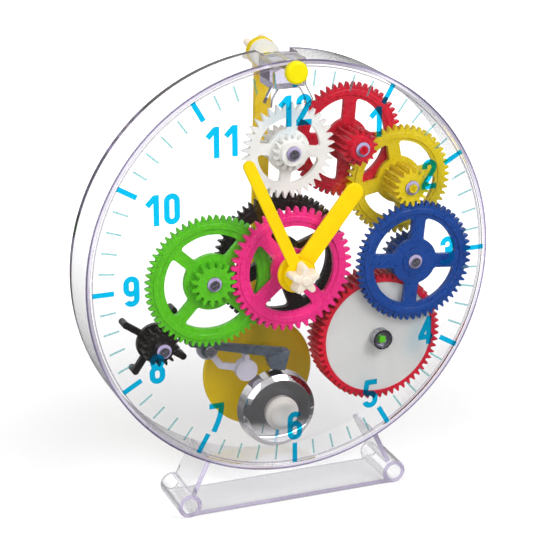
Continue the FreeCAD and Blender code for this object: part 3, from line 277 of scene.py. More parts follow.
# %% Distance from the middle of the dial
def from_middle(tree):
    """A socket with the distance of a point from the axis of the dial."""
    place = add(tree, "ShaderNodeTexCoord").outputs["Object"]
    moved = add(tree, "ShaderNodeVectorMath", {0: place, 1: (0, 0, DIAL_HEIGHT)}, operation="SUBTRACT")
    flat = add(tree, "ShaderNodeVectorMath", {0: moved.outputs["Vector"], 1: (1, 0, 1)}, operation="MULTIPLY")
    return add(tree, "ShaderNodeVectorMath", {0: flat.outputs["Vector"]}, operation="LENGTH").outputs["Value"]


# %% Clear polystyrene
CLEAR_INDEX = 1.5
CLEAR_TINT = "#B7A2D2"
CLEAR_DENSITY = 8.0
SEAT_LINE_INSET = 3.3 * MM
SEAT_LINE_HALF = 0.22 * MM
SEAT_LINE_STRENGTH = 0.6


def clear_plastic(name, tint, per_metre, roughness=0.02, line_radius=None):
    """A clear plastic that takes up a little light along the way, with a fine round line if asked."""
    material = start_material(name)
    tree = material.node_tree
    glass = add(
        tree,
        "ShaderNodeBsdfPrincipled",
        {
            "Base Color": (1.0, 1.0, 1.0, 1.0),
            "Roughness": roughness,
            "IOR": CLEAR_INDEX,
            "Transmission Weight": 1.0,
        },
    )
    lamp_path = add(tree, "ShaderNodeBsdfTransparent", {"Color": (0.985, 0.98, 0.988, 1.0)})
    light_path = add(tree, "ShaderNodeLightPath")
    choice = add(
        tree,
        "ShaderNodeMixShader",
        {0: light_path.outputs["Is Shadow Ray"], 1: glass.outputs["BSDF"], 2: lamp_path.outputs["BSDF"]},
    )
    surface = choice.outputs["Shader"]
    if line_radius is not None:
        near = add(
            tree,
            "ShaderNodeMath",
            {0: from_middle(tree), 1: line_radius, 2: SEAT_LINE_HALF},
            operation="COMPARE",
        )
        faint = add(
            tree, "ShaderNodeMath", {0: near.outputs["Value"], 1: SEAT_LINE_STRENGTH}, operation="MULTIPLY"
        )
        seat = add(
            tree,
            "ShaderNodeBsdfPrincipled",
            {"Base Color": linear("#8E8496"), "Roughness": 0.3, "IOR": CLEAR_INDEX},
        )
        surface = add(
            tree, "ShaderNodeMixShader", {0: faint.outputs["Value"], 1: surface, 2: seat.outputs["BSDF"]}
        ).outputs["Shader"]
    inside = add(tree, "ShaderNodeVolumeAbsorption", {"Color": linear(tint), "Density": per_metre})
    finish_material(tree, surface, inside.outputs["Volume"])
    return material


case_plastic = clear_plastic("clear moulded polystyrene", CLEAR_TINT, CLEAR_DENSITY)
cover_plastic = clear_plastic(
    "clear moulded polystyrene with its seat line",
    CLEAR_TINT,
    CLEAR_DENSITY,
    line_radius=DIAL_RADIUS - SEAT_LINE_INSET,
)
block_plastic = clear_plastic("violet tinted polystyrene block", "#A79AC4", 45.0, 0.06)
print("clear plastics:", case_plastic.name, "and", cover_plastic.name, "and", block_plastic.name)

# %% [markdown]
# Where the clear plastic was cut or gated, and where light piped through a wall comes out, it looks
# milky rather than clear: the faces of the rims, the ends of the tubes and posts, and the small bracket,
# which is moulded from a hazier batch. These faces scatter part of the light and let the rest through.
# On the rims and the ends of the tubes and posts their pale lavender is partly the plastic's own haze
# and partly painted light: the glow of light piped out through the wall is painted into their colour.
# The outer millimetre of the rim is painted darker, as painted shade, because its light comes the long way through
# the wall.


# %% Milky faces of the clear plastic
CLOUD_MM = 4
CUT_EDGE = 0.15 * MM
RIM_LINE_WIDTH = 1.0 * MM
RIM_LINE_FADE = 0.3 * MM


def milky_plastic(name, colour, shade, clearness, roughness, edge_shade_colour=None):
    """A clear plastic clouded by scratches and flow, with a line of painted shade at the rim's edge if asked."""
    material = start_material(name)
    tree = material.node_tree
    place = add(tree, "ShaderNodeTexCoord").outputs["Object"]
    cloud = add(
        tree,
        "ShaderNodeTexNoise",
        {"Vector": place, "Scale": per_mm(CLOUD_MM), "Detail": 4.0, "Roughness": 0.6},
    )
    tint = add(
        tree,
        "ShaderNodeMix",
        {0: cloud.outputs["Fac"], 6: linear(colour), 7: linear(shade)},
        data_type="RGBA",
    )
    # painted shade: the outer millimetre of the rim is darkened towards the edge colour
    if edge_shade_colour is not None:
        outer = add(
            tree,
            "ShaderNodeMapRange",
            {
                "Value": from_middle(tree),
                "From Min": DIAL_RADIUS - RIM_LINE_WIDTH,
                "From Max": DIAL_RADIUS - RIM_LINE_WIDTH + RIM_LINE_FADE,
                "To Min": 0.0,
                "To Max": 1.0,
            },
        )
        tint = add(
            tree,
            "ShaderNodeMix",
            {0: outer.outputs["Result"], 6: tint.outputs[2], 7: linear(edge_shade_colour)},
            data_type="RGBA",
        )
    gloss = add(
        tree,
        "ShaderNodeMapRange",
        {"Value": cloud.outputs["Fac"], "To Min": roughness - 0.08, "To Max": roughness + 0.08},
    )
    edge = add(tree, "ShaderNodeBevel", {"Radius": CUT_EDGE}, samples=3)
    plastic = add(
        tree,
        "ShaderNodeBsdfPrincipled",
        {
            "Base Color": tint.outputs[2],
            "Roughness": gloss.outputs["Result"],
            "IOR": CLEAR_INDEX,
            "Transmission Weight": clearness,
            "Normal": edge.outputs["Normal"],
        },
    )
    lamp_path = add(tree, "ShaderNodeBsdfTransparent", {"Color": (0.9, 0.89, 0.92, 1.0)})
    light_path = add(tree, "ShaderNodeLightPath")
    choice = add(
        tree,
        "ShaderNodeMixShader",
        {0: light_path.outputs["Is Shadow Ray"], 1: plastic.outputs["BSDF"], 2: lamp_path.outputs["BSDF"]},
    )
    finish_material(tree, choice.outputs["Shader"])
    return material


# the lavender of the rims, feet and posts is partly the plastic's haze and partly a painted glow of light piped
# out through the wall
rim_plastic = milky_plastic("lavender rim of clear polystyrene", "#E6DFF0", "#D6CCE4", 0.6, 0.25, "#6E628C")
foot_plastic = milky_plastic("lavender ends of the clear feet", "#C9BEDA", "#B0A3C8", 0.6, 0.25)
post_plastic = milky_plastic("milky end of a clear post", "#DDD6EA", "#C9C0DC", 0.3, 0.35)
bracket_plastic = milky_plastic("hazy moulded polystyrene", "#D9D6DF", "#C8C4D2", 0.25, 0.35)
for milky in (rim_plastic, foot_plastic, post_plastic, bracket_plastic):
    print("milky plastic:", milky.name)

# %% [markdown]
# ## Metals
#
# The screws, the cup and the pins are nickel-plated steel, turned on a lathe, so their shine is a
# little broken up by marks a millimetre or less across. The springs are blued steel, as they come from
# the coil. The bell is drawn from sheet steel and chromed, and its gloss is even.


# %% Metals
TURNED_EDGE = 0.1 * MM


def plated_metal(name, colour, roughness, grain_mm):
    """A plated metal whose gloss varies with fine marks."""
    material = start_material(name)
    tree = material.node_tree
    place = add(tree, "ShaderNodeTexCoord").outputs["Object"]
    marks = add(
        tree,
        "ShaderNodeTexNoise",
        {"Vector": place, "Scale": per_mm(grain_mm), "Detail": 6.0, "Roughness": 0.7},
    )
    gloss = add(
        tree,
        "ShaderNodeMapRange",
        {"Value": marks.outputs["Fac"], "To Min": roughness * 0.6, "To Max": roughness * 1.5},
    )
    edge = add(tree, "ShaderNodeBevel", {"Radius": TURNED_EDGE}, samples=3)
    metal = add(
        tree,
        "ShaderNodeBsdfPrincipled",
        {
            "Base Color": linear(colour),
            "Metallic": 1.0,
            "Roughness": gloss.outputs["Result"],
            "Normal": edge.outputs["Normal"],
        },
    )
    finish_material(tree, metal.outputs["BSDF"])
    return material


nickel = plated_metal("nickel-plated steel", "#B4B2BC", 0.26, 0.8)
spring_steel = plated_metal("blued spring steel", "#8A8E99", 0.3, 0.5)
chrome = plated_metal("chromed sheet steel", "#D2D0D2", 0.05, 6.0)
print("all materials:", len(bpy.data.materials))

# %% [markdown]
# ## Which node gets which finish
#
# The colours follow the real kit, where nearly every wheel has its own so that a class can name it.

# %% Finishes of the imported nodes
FINISHES = {
    case_plastic: ["case_back", "stand"],
    cover_plastic: ["front_cover"],
    block_plastic: ["pallet_anchor"],
    bracket_plastic: ["hammer_bracket"],
    red_plastic: ["barrel", "red_wheel"],
    blue_plastic: ["blue_wheel"],
    green_plastic: ["green_wheel", "winding_key", "barrel_arbor"],
    pink_plastic: ["hour_wheel"],
    yellow_plastic: ["yellow_wheel"],
    hand_plastic: ["hour_hand", "minute_hand"],
    head_plastic: ["arbor_head", "pallet_arbor"],
    bob_plastic: ["pendulum_rod", "pendulum_bob"],
    black_plastic: ["centre_wheel", "minute_pinion", "striker_wheel"],
    white_plastic: ["escape_wheel", "ratchet_wheel", "click", "pendulum_collar"],
    disc_plastic: ["barrel_cover"],
    grey_plastic: ["hammer"],
    cap_plastic: ["bell_cap"],
    cream_plastic: ["hand_knob", "pendulum_knob"],
    nickel: ["cover_screws", "barrel_bush", "arbor_clip", "click_screw", "minute_arbor", "hammer_pin"],
    chrome: ["bell"],
    spring_steel: ["mainspring", "click_spring"],
}
for finish, names in FINISHES.items():
    for name in names:
        nodes[name].data.materials.clear()
        nodes[name].data.materials.append(finish)
print("finished nodes:", sum(len(names) for names in FINISHES.values()))

# %% [markdown]
# Some faces of a piece look unlike the rest of it: the rims and the ends of the clear parts are milky,
# and two screws look as coloured as their wheels. A second slot on the same piece takes care of these
# faces, chosen by where they lie and which way they look.

# %% Faces with a finish of their own
POST_JOINTS = [
    "blue_wheel_turn",
    "yellow_wheel_turn",
    "red_wheel_turn",
    "escape_wheel_turn",
    "green_wheel_turn",
    "striker_turn",
]
FACES_FRONT = -0.9
TOUCH = 0.05 * MM
POST_REACH = 4 * MM
SCREW_REACH = 3 * MM
FOOT_UNDERSIDE = 0.3 * MM


def near_axis(point, joint_name, reach):
    """Whether a point lies within a distance of the axis of a joint."""
    x, z = axis_of(joint_name)
    return math.hypot(point.x - x, point.z - z) < reach


def give_faces(node, finish, wanted):
    """Puts a finish on those faces of a node that the test picks."""
    mesh = nodes[node].data
    mesh.materials.append(finish)
    slot = len(mesh.materials) - 1
    picked = [face for face in mesh.polygons if wanted(face)]
    for face in picked:
        face.material_index = slot
    print(node, finish.name, len(picked))


cover_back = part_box("front_cover")[1].y
give_faces("case_back", rim_plastic, lambda face: face.center.y < RIM_FACE + TOUCH)
give_faces(
    "case_back",
    post_plastic,
    lambda face: abs(face.center.y - cover_back) < TOUCH
    and face.normal.y < FACES_FRONT
    and any(near_axis(face.center, joint, POST_REACH) for joint in POST_JOINTS),
)
give_faces(
    "stand", foot_plastic, lambda face: face.normal.y < FACES_FRONT and face.center.z > FOOT_UNDERSIDE
)
give_faces(
    "cover_screws", red_plastic, lambda face: near_axis(face.center, "red_wheel_turn", SCREW_REACH)
)
give_faces(
    "cover_screws", yellow_plastic, lambda face: near_axis(face.center, "yellow_wheel_turn", SCREW_REACH)
)

# %% [markdown]
# ## Pieces with soft edges
#
# Plain solids have knife edges, and the real hands, key and lever do not: a mould's edges are rounded
# by half a millimetre or so. For a piece whose outline is right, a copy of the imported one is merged
# into clean faces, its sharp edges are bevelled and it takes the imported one's place.


# %% Helpers for modelling
MERGE_DISTANCE = 0.01 * MM
SHARP = math.radians(28)
SMOOTH = math.radians(32)
BODY_NODES = frame["record"]["behaviour"]["bodies"]


def clear_selection():
    """Leaves edit mode and deselects every object."""
    if bpy.context.object and bpy.context.object.mode != "OBJECT":
        bpy.ops.object.mode_set(mode="OBJECT")
    bpy.ops.object.select_all(action="DESELECT")


def activate(piece):
    """Makes one object the only selected and active one."""
    clear_selection()
    piece.select_set(True)
    bpy.context.view_layer.objects.active = piece


def bevel_edges(piece, width, segments):
    """Rounds the sharp edges of a piece and applies the modifier."""
    activate(piece)
    bevel = piece.modifiers.new("bevel", "BEVEL")
    bevel.width = width
    bevel.segments = segments
    bevel.limit_method = "ANGLE"
    bevel.angle_limit = SHARP
    bpy.ops.object.modifier_apply(modifier=bevel.name)
    bpy.ops.object.shade_smooth_by_angle(angle=SMOOTH)


def take_place(piece, node, finish):
    """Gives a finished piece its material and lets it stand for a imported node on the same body."""
    piece.data.materials.clear()
    piece.data.materials.append(finish)
    for body, members in BODY_NODES.items():
        if node in members:
            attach(piece, body)
    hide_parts(node)
    print(piece.name, len(piece.data.polygons), "faces")


def softened(node, width, finish):
    """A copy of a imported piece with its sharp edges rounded."""
    clear_selection()
    piece = nodes[node].copy()
    piece.data = nodes[node].data.copy()
    piece.parent = None
    for mark in list(piece.keys()):
        del piece[mark]
    bpy.context.collection.objects.link(piece)
    piece.name = "soft_" + node
    activate(piece)
    bpy.ops.object.mode_set(mode="EDIT")
    bpy.ops.mesh.select_all(action="SELECT")
    bpy.ops.mesh.remove_doubles(threshold=MERGE_DISTANCE)
    bpy.ops.mesh.dissolve_limited(angle_limit=math.radians(1))
    bpy.ops.object.mode_set(mode="OBJECT")
    bevel_edges(piece, width, 3)
    take_place(piece, node, finish)


# %% Hands, hammer and key
HAND_EDGE = 0.55 * MM
HAMMER_EDGE = 0.4 * MM
KEY_EDGE = 0.5 * MM
softened("hour_hand", HAND_EDGE, hand_plastic)
softened("minute_hand", HAND_EDGE, hand_plastic)
softened("hammer", HAMMER_EDGE, grey_plastic)
softened("winding_key", KEY_EDGE, green_plastic)

# %% [markdown]
# ## Turned pieces
#
# The bell is drawn from sheet steel over a former, with a nearly flat front, a round shoulder and a
# straight skirt. Its cap is a stepped plastic button. Both are round, so half of the outline is drawn as
# a chain of points, outwards from the axis, and spun once round it. A bevel then rounds the corners.


# %% Spin an outline round an axis
TURNED_SIDES = 96


def turned(name, centre, outline):
    """Spins a chain of (radius, y) points round an axis that runs along y."""
    clear_selection()
    bpy.ops.mesh.primitive_plane_add(size=1)
    piece = bpy.context.object
    piece.name = name
    bpy.ops.object.mode_set(mode="EDIT")
    bpy.ops.mesh.select_all(action="SELECT")
    bpy.ops.mesh.merge(type="CENTER")
    radius, y = outline[0]
    bpy.ops.transform.translate(value=(centre.x + radius, y, centre.z))
    for next_radius, next_y in outline[1:]:
        step = (next_radius - radius, next_y - y, 0)
        bpy.ops.mesh.extrude_vertices_move(TRANSFORM_OT_translate={"value": step})
        radius, y = next_radius, next_y
    bpy.ops.mesh.select_all(action="SELECT")
    bpy.ops.mesh.spin(steps=TURNED_SIDES, angle=math.tau, center=(centre.x, 0, centre.z), axis=(0, 1, 0))
    bpy.ops.mesh.select_all(action="SELECT")
    bpy.ops.mesh.remove_doubles(threshold=MERGE_DISTANCE)
    bpy.ops.mesh.normals_make_consistent(inside=False)
    bpy.ops.object.mode_set(mode="OBJECT")
    return piece


# %% Bell and its cap
bell_middle = middle_of("bell")
bell_low, bell_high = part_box("bell")
bell_radius = (bell_high.x - bell_low.x) / 2
BELL_SHEET = 1.0 * MM
BELL_ROUNDING = 1.0 * MM
STEM_RADIUS = 2.4 * MM
FACE = (bell_radius * 0.55, bell_low.y + 0.3 * MM)
SHOULDER = (bell_radius * 0.83, bell_low.y + 1.1 * MM)
SKIRT = (bell_radius * 0.96, bell_low.y + 3.0 * MM)
bell = turned(
    "chrome_bell",
    bell_middle,
    [
        (STEM_RADIUS, bell_low.y),
        FACE,
        SHOULDER,
        SKIRT,
        (bell_radius * 0.985, bell_high.y - 1.2 * MM),
        (bell_radius, bell_high.y - 0.4 * MM),
        (bell_radius * 0.99, bell_high.y),
        (bell_radius - BELL_SHEET, bell_high.y),
        (SKIRT[0] - BELL_SHEET, SKIRT[1] + BELL_SHEET / 2),
        (SHOULDER[0] - BELL_SHEET / 2, SHOULDER[1] + BELL_SHEET),
        (STEM_RADIUS, bell_low.y + BELL_SHEET),
        (STEM_RADIUS, bell_low.y),
    ],
)
bevel_edges(bell, BELL_ROUNDING, 6)
take_place(bell, "bell", chrome)

cap_low, cap_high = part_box("bell_cap")
cap_radius = (cap_high.x - cap_low.x) / 2
CAP_ROUNDING = 0.45 * MM
CAP_BACK = bell_low.y + 0.05 * MM
cap = turned(
    "bell_cap_button",
    bell_middle,
    [
        (0, cap_low.y + 0.35 * MM),
        (cap_radius * 0.40, cap_low.y + 0.25 * MM),
        (cap_radius * 0.50, cap_low.y),
        (cap_radius * 0.74, cap_low.y),
        (cap_radius * 0.80, cap_low.y + 1.0 * MM),
        (cap_radius, cap_low.y + 1.6 * MM),
        (cap_radius, CAP_BACK),
        (STEM_RADIUS, CAP_BACK),
        (STEM_RADIUS, cap_high.y),
        (0, cap_high.y),
    ],
)
bevel_edges(cap, CAP_ROUNDING, 4)
take_place(cap, "bell_cap", cap_plastic)

# %% [markdown]
# ## Star knobs
#
# A star knob is moulded in milky nylon. Seen from its front it has five blunt lobes with hollow sides.
# A filled circle is pulled into that outline, given its thickness, and its edges are rounded. A small
# button in the middle covers the end of the shaft.


# %% A knob with five lobes
LOBES = 5
LOBE_MIDDLE = 0.76
LOBE_SWING = 0.24
LOBE_BLUNTNESS = 0.75
KNOB_TAPER = 0.9
KNOB_ROUNDING = 0.8 * MM
BUTTON_HEIGHT = 0.9 * MM
BUTTON_FACE = 0.26
BUTTON_RADIUS = 0.32
BUTTON_ROUNDING = 0.2 * MM


def star_outline(turn):
    """How far out the outline lies at an angle, as a share of the knob's radius."""
    wave = math.cos(LOBES * turn)
    return LOBE_MIDDLE + LOBE_SWING * math.copysign(abs(wave) ** LOBE_BLUNTNESS, wave)


def star_knob(name, node, joint_name, lobe_turn, button_side, size):
    """A star knob in the place of a packed one, with its button on its front or its back."""
    low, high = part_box(node)
    centre_x, centre_z = axis_of(joint_name)
    radius = (high.z - centre_z) * size
    front = low.y + (BUTTON_HEIGHT if button_side == "front" else 0)
    back = high.y - (BUTTON_HEIGHT if button_side == "back" else 0)
    wide_side = front if button_side == "front" else back
    clear_selection()
    bpy.ops.mesh.primitive_circle_add(vertices=100, radius=1.0, fill_type="NGON")
    knob = bpy.context.object
    knob.name = name
    for vertex in knob.data.vertices:
        turn = math.atan2(vertex.co.y, vertex.co.x)
        reach = radius * star_outline(turn)
        around = turn + math.radians(lobe_turn)
        vertex.co = (centre_x + reach * math.cos(around), back, centre_z + reach * math.sin(around))
    bpy.ops.object.mode_set(mode="EDIT")
    bpy.ops.mesh.select_all(action="SELECT")
    bpy.ops.mesh.extrude_region_move(TRANSFORM_OT_translate={"value": (0, front - back, 0)})
    bpy.ops.transform.resize(
        value=(KNOB_TAPER, 1.0, KNOB_TAPER), center_override=(centre_x, wide_side, centre_z)
    )
    bpy.ops.mesh.select_all(action="SELECT")
    bpy.ops.mesh.normals_make_consistent(inside=False)
    bpy.ops.object.mode_set(mode="OBJECT")
    bevel_edges(knob, KNOB_ROUNDING, 4)
    if button_side == "front":
        face, root = low.y, front + BUTTON_HEIGHT
    else:
        face, root = high.y, back - BUTTON_HEIGHT
    cover = turned(
        name + "_button",
        Vector((centre_x, 0, centre_z)),
        [
            (0, face),
            (radius * BUTTON_FACE, face),
            (radius * BUTTON_RADIUS, face + (root - face) * 0.3),
            (radius * BUTTON_RADIUS, root),
            (0, root),
        ],
    )
    bevel_edges(cover, BUTTON_ROUNDING, 3)
    union = knob.modifiers.new("union", "BOOLEAN")
    union.operation = "UNION"
    union.solver = "EXACT"
    union.object = cover
    activate(knob)
    bpy.ops.object.modifier_apply(modifier=union.name)
    bpy.data.objects.remove(cover)
    bpy.ops.object.shade_smooth_by_angle(angle=SMOOTH)
    take_place(knob, node, cream_plastic)


star_knob("hand_star_knob", "hand_knob", "minute_hand_turn", 90, "front", 1.0)
star_knob("pendulum_star_knob", "pendulum_knob", "pendulum_swing", 68, "back", 1.07)

# %% [markdown]
# ## Studio
#
# The clock stands on white paper under soft light. A large lamp on the upper right makes the shadows,
# a weaker one on the left fills them, and the sky around gives the rest, so that a colour renders
# about as it is written. What the camera sees behind the clock, directly or through the clear case, is
# plain white. A mirror-like surface sees what a real studio has instead: white paper close to the
# clock, a dark room in front of it, grey paper behind it and a bright ceiling, and that contrast is what
# makes chrome look like chrome and keeps the black wheels black behind the shiny cover. Light that has
# turned round many times inside a clear wall sees the white paper again, so that the edges stay bright.

# %% Which rays see what
WHITE = (1.0, 1.0, 1.0, 1.0)


def before_matt(tree, light_path):
    """A socket that is 1 until the light has met a matt surface, and 0 after that."""
    return add(
        tree, "ShaderNodeMath", {0: light_path.outputs["Diffuse Depth"], 1: 0.5}, operation="LESS_THAN"
    ).outputs["Value"]


def mirrored(tree, light_path):
    """A socket that is 1 for light that has been mirrored once or twice, and 0 for the rest."""
    return add(
        tree, "ShaderNodeMath", {0: light_path.outputs["Glossy Depth"], 1: 1.5, 2: 1.0}, operation="COMPARE"
    ).outputs["Value"]


# %% [markdown]
# The paper is matt and glows a little more the further it is from the clock, which hides where it ends.
# The glow is there for what is seen, directly, through the clear plastic or mirrored, and it is left out
# for light that has met something matt before.

# %% Floor
FLOOR_SIZE = 8.0
PAPER_GREY = 0.62
GLOW_START, GLOW_FULL = 0.10, 0.42
WHITE_PAPER_END, DARK_ROOM_START = 0.045, 0.07
DARK_IN_FRONT, GREY_BEHIND = 0.10, 0.42
BEHIND_FULL = 0.2

bpy.ops.mesh.primitive_plane_add(size=FLOOR_SIZE, location=(0, 0, 0))
floor = bpy.context.object
floor.name = "studio_paper"
paper = start_material("white studio paper")
tree = paper.node_tree
light_path = add(tree, "ShaderNodeLightPath")
place = add(tree, "ShaderNodeTexCoord").outputs["Object"]
distance = add(tree, "ShaderNodeVectorMath", {0: place}, operation="LENGTH")
outward = add(
    tree,
    "ShaderNodeMapRange",
    {
        "Value": distance.outputs["Value"],
        "From Min": GLOW_START,
        "From Max": GLOW_FULL,
        "To Min": 0.40,
        "To Max": 1.0,
    },
    interpolation_type="SMOOTHSTEP",
)
matt = add(
    tree, "ShaderNodeBsdfDiffuse", {"Color": (PAPER_GREY, PAPER_GREY, PAPER_GREY, 1.0), "Roughness": 0.5}
)
glow = add(tree, "ShaderNodeEmission", {"Color": WHITE, "Strength": outward.outputs["Result"]})
no_glow = add(tree, "ShaderNodeBsdfTransparent", {"Color": (0.0, 0.0, 0.0, 1.0)})
lit = add(
    tree,
    "ShaderNodeMixShader",
    {0: before_matt(tree, light_path), 1: no_glow.outputs["BSDF"], 2: glow.outputs["Emission"]},
)
both = add(tree, "ShaderNodeAddShader", {0: matt.outputs["BSDF"], 1: lit.outputs["Shader"]})
beyond = add(
    tree,
    "ShaderNodeMapRange",
    {
        "Value": distance.outputs["Value"],
        "From Min": WHITE_PAPER_END,
        "From Max": DARK_ROOM_START,
        "To Min": 0.0,
        "To Max": 1.0,
    },
)
dimmed = add(
    tree,
    "ShaderNodeMath",
    {0: mirrored(tree, light_path), 1: beyond.outputs["Result"]},
    operation="MULTIPLY",
)
depth = add(tree, "ShaderNodeSeparateXYZ", {"Vector": place}).outputs["Y"]
behind = add(
    tree,
    "ShaderNodeMapRange",
    {
        "Value": depth,
        "From Min": 0.0,
        "From Max": BEHIND_FULL,
        "To Min": DARK_IN_FRONT,
        "To Max": GREY_BEHIND,
    },
)
dark = add(tree, "ShaderNodeBsdfDiffuse", {"Color": behind.outputs["Result"]})
surface = add(
    tree,
    "ShaderNodeMixShader",
    {0: dimmed.outputs["Value"], 1: both.outputs["Shader"], 2: dark.outputs["BSDF"]},
)
finish_material(tree, surface.outputs["Shader"])
floor.data.materials.append(paper)
print("paper:", FLOOR_SIZE, "m wide")

# %% [markdown]
# The sky is plain white where it is seen, a room that brightens upwards where it is mirrored, and an
# even soft light for everything matt.

# %% Sky
SKY_LIGHT = 0.55
ROOM_DARK, ROOM_BRIGHT = 0.18, 1.0

world = bpy.data.worlds.new("studio_sky")
bpy.context.scene.world = world
world.use_nodes = True
tree = world.node_tree
tree.nodes.clear()
light_path = add(tree, "ShaderNodeLightPath")
heading = add(tree, "ShaderNodeTexCoord").outputs["Generated"]
parts = add(tree, "ShaderNodeSeparateXYZ", {"Vector": heading})
height = add(
    tree,
    "ShaderNodeMapRange",
    {
        "Value": parts.outputs["Z"],
        "From Min": -0.05,
        "From Max": 0.55,
        "To Min": ROOM_DARK,
        "To Max": ROOM_BRIGHT,
    },
)
backdrop = add(tree, "ShaderNodeBackground", {"Color": WHITE, "Strength": 1.0})
room = add(tree, "ShaderNodeBackground", {"Color": WHITE, "Strength": height.outputs["Result"]})
sky = add(tree, "ShaderNodeBackground", {"Color": WHITE, "Strength": SKY_LIGHT})
visible = add(
    tree,
    "ShaderNodeMixShader",
    {0: mirrored(tree, light_path), 1: backdrop.outputs["Background"], 2: room.outputs["Background"]},
)
choice = add(
    tree,
    "ShaderNodeMixShader",
    {0: before_matt(tree, light_path), 1: sky.outputs["Background"], 2: visible.outputs["Shader"]},
)
add(tree, "ShaderNodeOutputWorld", {"Surface": choice.outputs["Shader"]})
print("sky:", SKY_LIGHT, "on what is matt, and", ROOM_DARK, "to", ROOM_BRIGHT, "where it is mirrored")


# %% Lamps
def softbox(name, place, size, power):
    """A square lamp that faces the middle of the clock."""
    bpy.ops.object.light_add(type="AREA", location=place)
    lamp = bpy.context.object
    lamp.name = name
    lamp.data.shape = "SQUARE"
    lamp.data.size = size
    lamp.data.energy = power
    aim = Vector((0, 0, DIAL_HEIGHT)) - Vector(place)
    lamp.rotation_euler = aim.to_track_quat("-Z", "Y").to_euler()
    print(name, power, "W")


softbox("lamp_right", (0.55, -0.85, 1.05), 0.7, 9.0)
softbox("lamp_left", (-0.95, -0.75, 0.75), 0.9, 6.0)

# %% [markdown]
# Light that enters a clear wall at its edge turns round in it dozens of times before it comes out, and
# each turn is a bounce. With the usual limits such edges stay black, so the limits are raised.

# %% Colours as written, and enough bounces
CLEAR_WALL_BOUNCES = 80
LAYER_BOUNCES = 32
scene = bpy.context.scene
scene.view_settings.view_transform = "Standard"
scene.cycles.transparent_max_bounces = LAYER_BOUNCES
scene.cycles.max_bounces = CLEAR_WALL_BOUNCES
scene.cycles.transmission_bounces = CLEAR_WALL_BOUNCES
scene.cycles.glossy_bounces = CLEAR_WALL_BOUNCES
print("bounces:", CLEAR_WALL_BOUNCES, "and", LAYER_BOUNCES, "through transparent layers")

# %% [markdown]
# ## Camera
#
# The photograph was taken from the left of the clock and a little above it, with a long lens. The
# angle, the distance and the lens were worked out from the outline of the dial, and the clock sits a
# little right of and above the middle of the frame.

# %% Camera
AZIMUTH = math.radians(-21.634)
ELEVATION = math.radians(19.104)
DISTANCE = 9.048 * DIAL_RADIUS
FOCAL_PIXELS = 1947.7
FRAME_PIXELS = 560
SENSOR_MM = 36.0
SHIFT_RIGHT_PIXELS = -13.63
SHIFT_UP_PIXELS = -9.22
NEAREST, FURTHEST = 0.05, 20.0
dial_middle = Vector((0.0, RIM_FACE, DIAL_HEIGHT))
back = Vector(
    (
        math.sin(AZIMUTH) * math.cos(ELEVATION),
        -math.cos(AZIMUTH) * math.cos(ELEVATION),
        math.sin(ELEVATION),
    )
)
bpy.ops.object.camera_add(location=dial_middle + back * DISTANCE)
camera = bpy.context.object
camera.rotation_euler = (-back).to_track_quat("-Z", "Y").to_euler()
camera.data.sensor_width = SENSOR_MM
camera.data.lens = FOCAL_PIXELS / FRAME_PIXELS * SENSOR_MM
camera.data.shift_x = SHIFT_RIGHT_PIXELS / FRAME_PIXELS
camera.data.shift_y = SHIFT_UP_PIXELS / FRAME_PIXELS
camera.data.clip_start = NEAREST
camera.data.clip_end = FURTHEST
scene.camera = camera
print("camera", round(DISTANCE, 3), "m away with a lens of", round(camera.data.lens, 1), "mm")

# %% [markdown]
# ## Printing on the dial
#
# The numbers are printed on the cover in a clear cyan ink: over the white ground they are bright, and
# over a red wheel they turn dark blue, because the ink takes red light away from whatever is behind.
# They are drawn as a sign painter would, with a nib of one width that runs straight or turns round a
# centre. In Blender the nib is an edge, a straight run is an extrusion of it and a turn is a spin.

# %% Ink
INK_THICKNESS = 0.04 * MM
INK_GAP = 0.01 * MM
INK_FACE = COVER_FACE - INK_THICKNESS - INK_GAP


def printing_ink(name, colour, body):
    """An ink that filters what is behind it, with a little colour of its own.

    Light passes the front and the back of the ink, so each takes the square root of the colour.
    """
    material = start_material(name)
    tree = material.node_tree
    tint = [math.sqrt(channel) for channel in linear(colour)[:3]]
    filter_layer = add(tree, "ShaderNodeBsdfTransparent", {"Color": (*tint, 1.0)})
    pigment = add(
        tree, "ShaderNodeBsdfPrincipled", {"Base Color": linear(colour), "Roughness": 0.45, "IOR": 1.5}
    )
    mixed = add(
        tree, "ShaderNodeMixShader", {0: body, 1: filter_layer.outputs["BSDF"], 2: pigment.outputs["BSDF"]}
    )
    finish_material(tree, mixed.outputs["Shader"])
    return material


number_ink = printing_ink("cyan printing ink", "#08B4DE", 0.06)
tick_ink = printing_ink("teal printing ink", "#9CCCCC", 0.15)
print("inks:", number_ink.name, "and", tick_ink.name)


# %% A nib that draws strokes
NIB = 0.185
NIB_LENGTH = 0.002
NIB_MERGE = 0.0008
TURN_STEP = 9


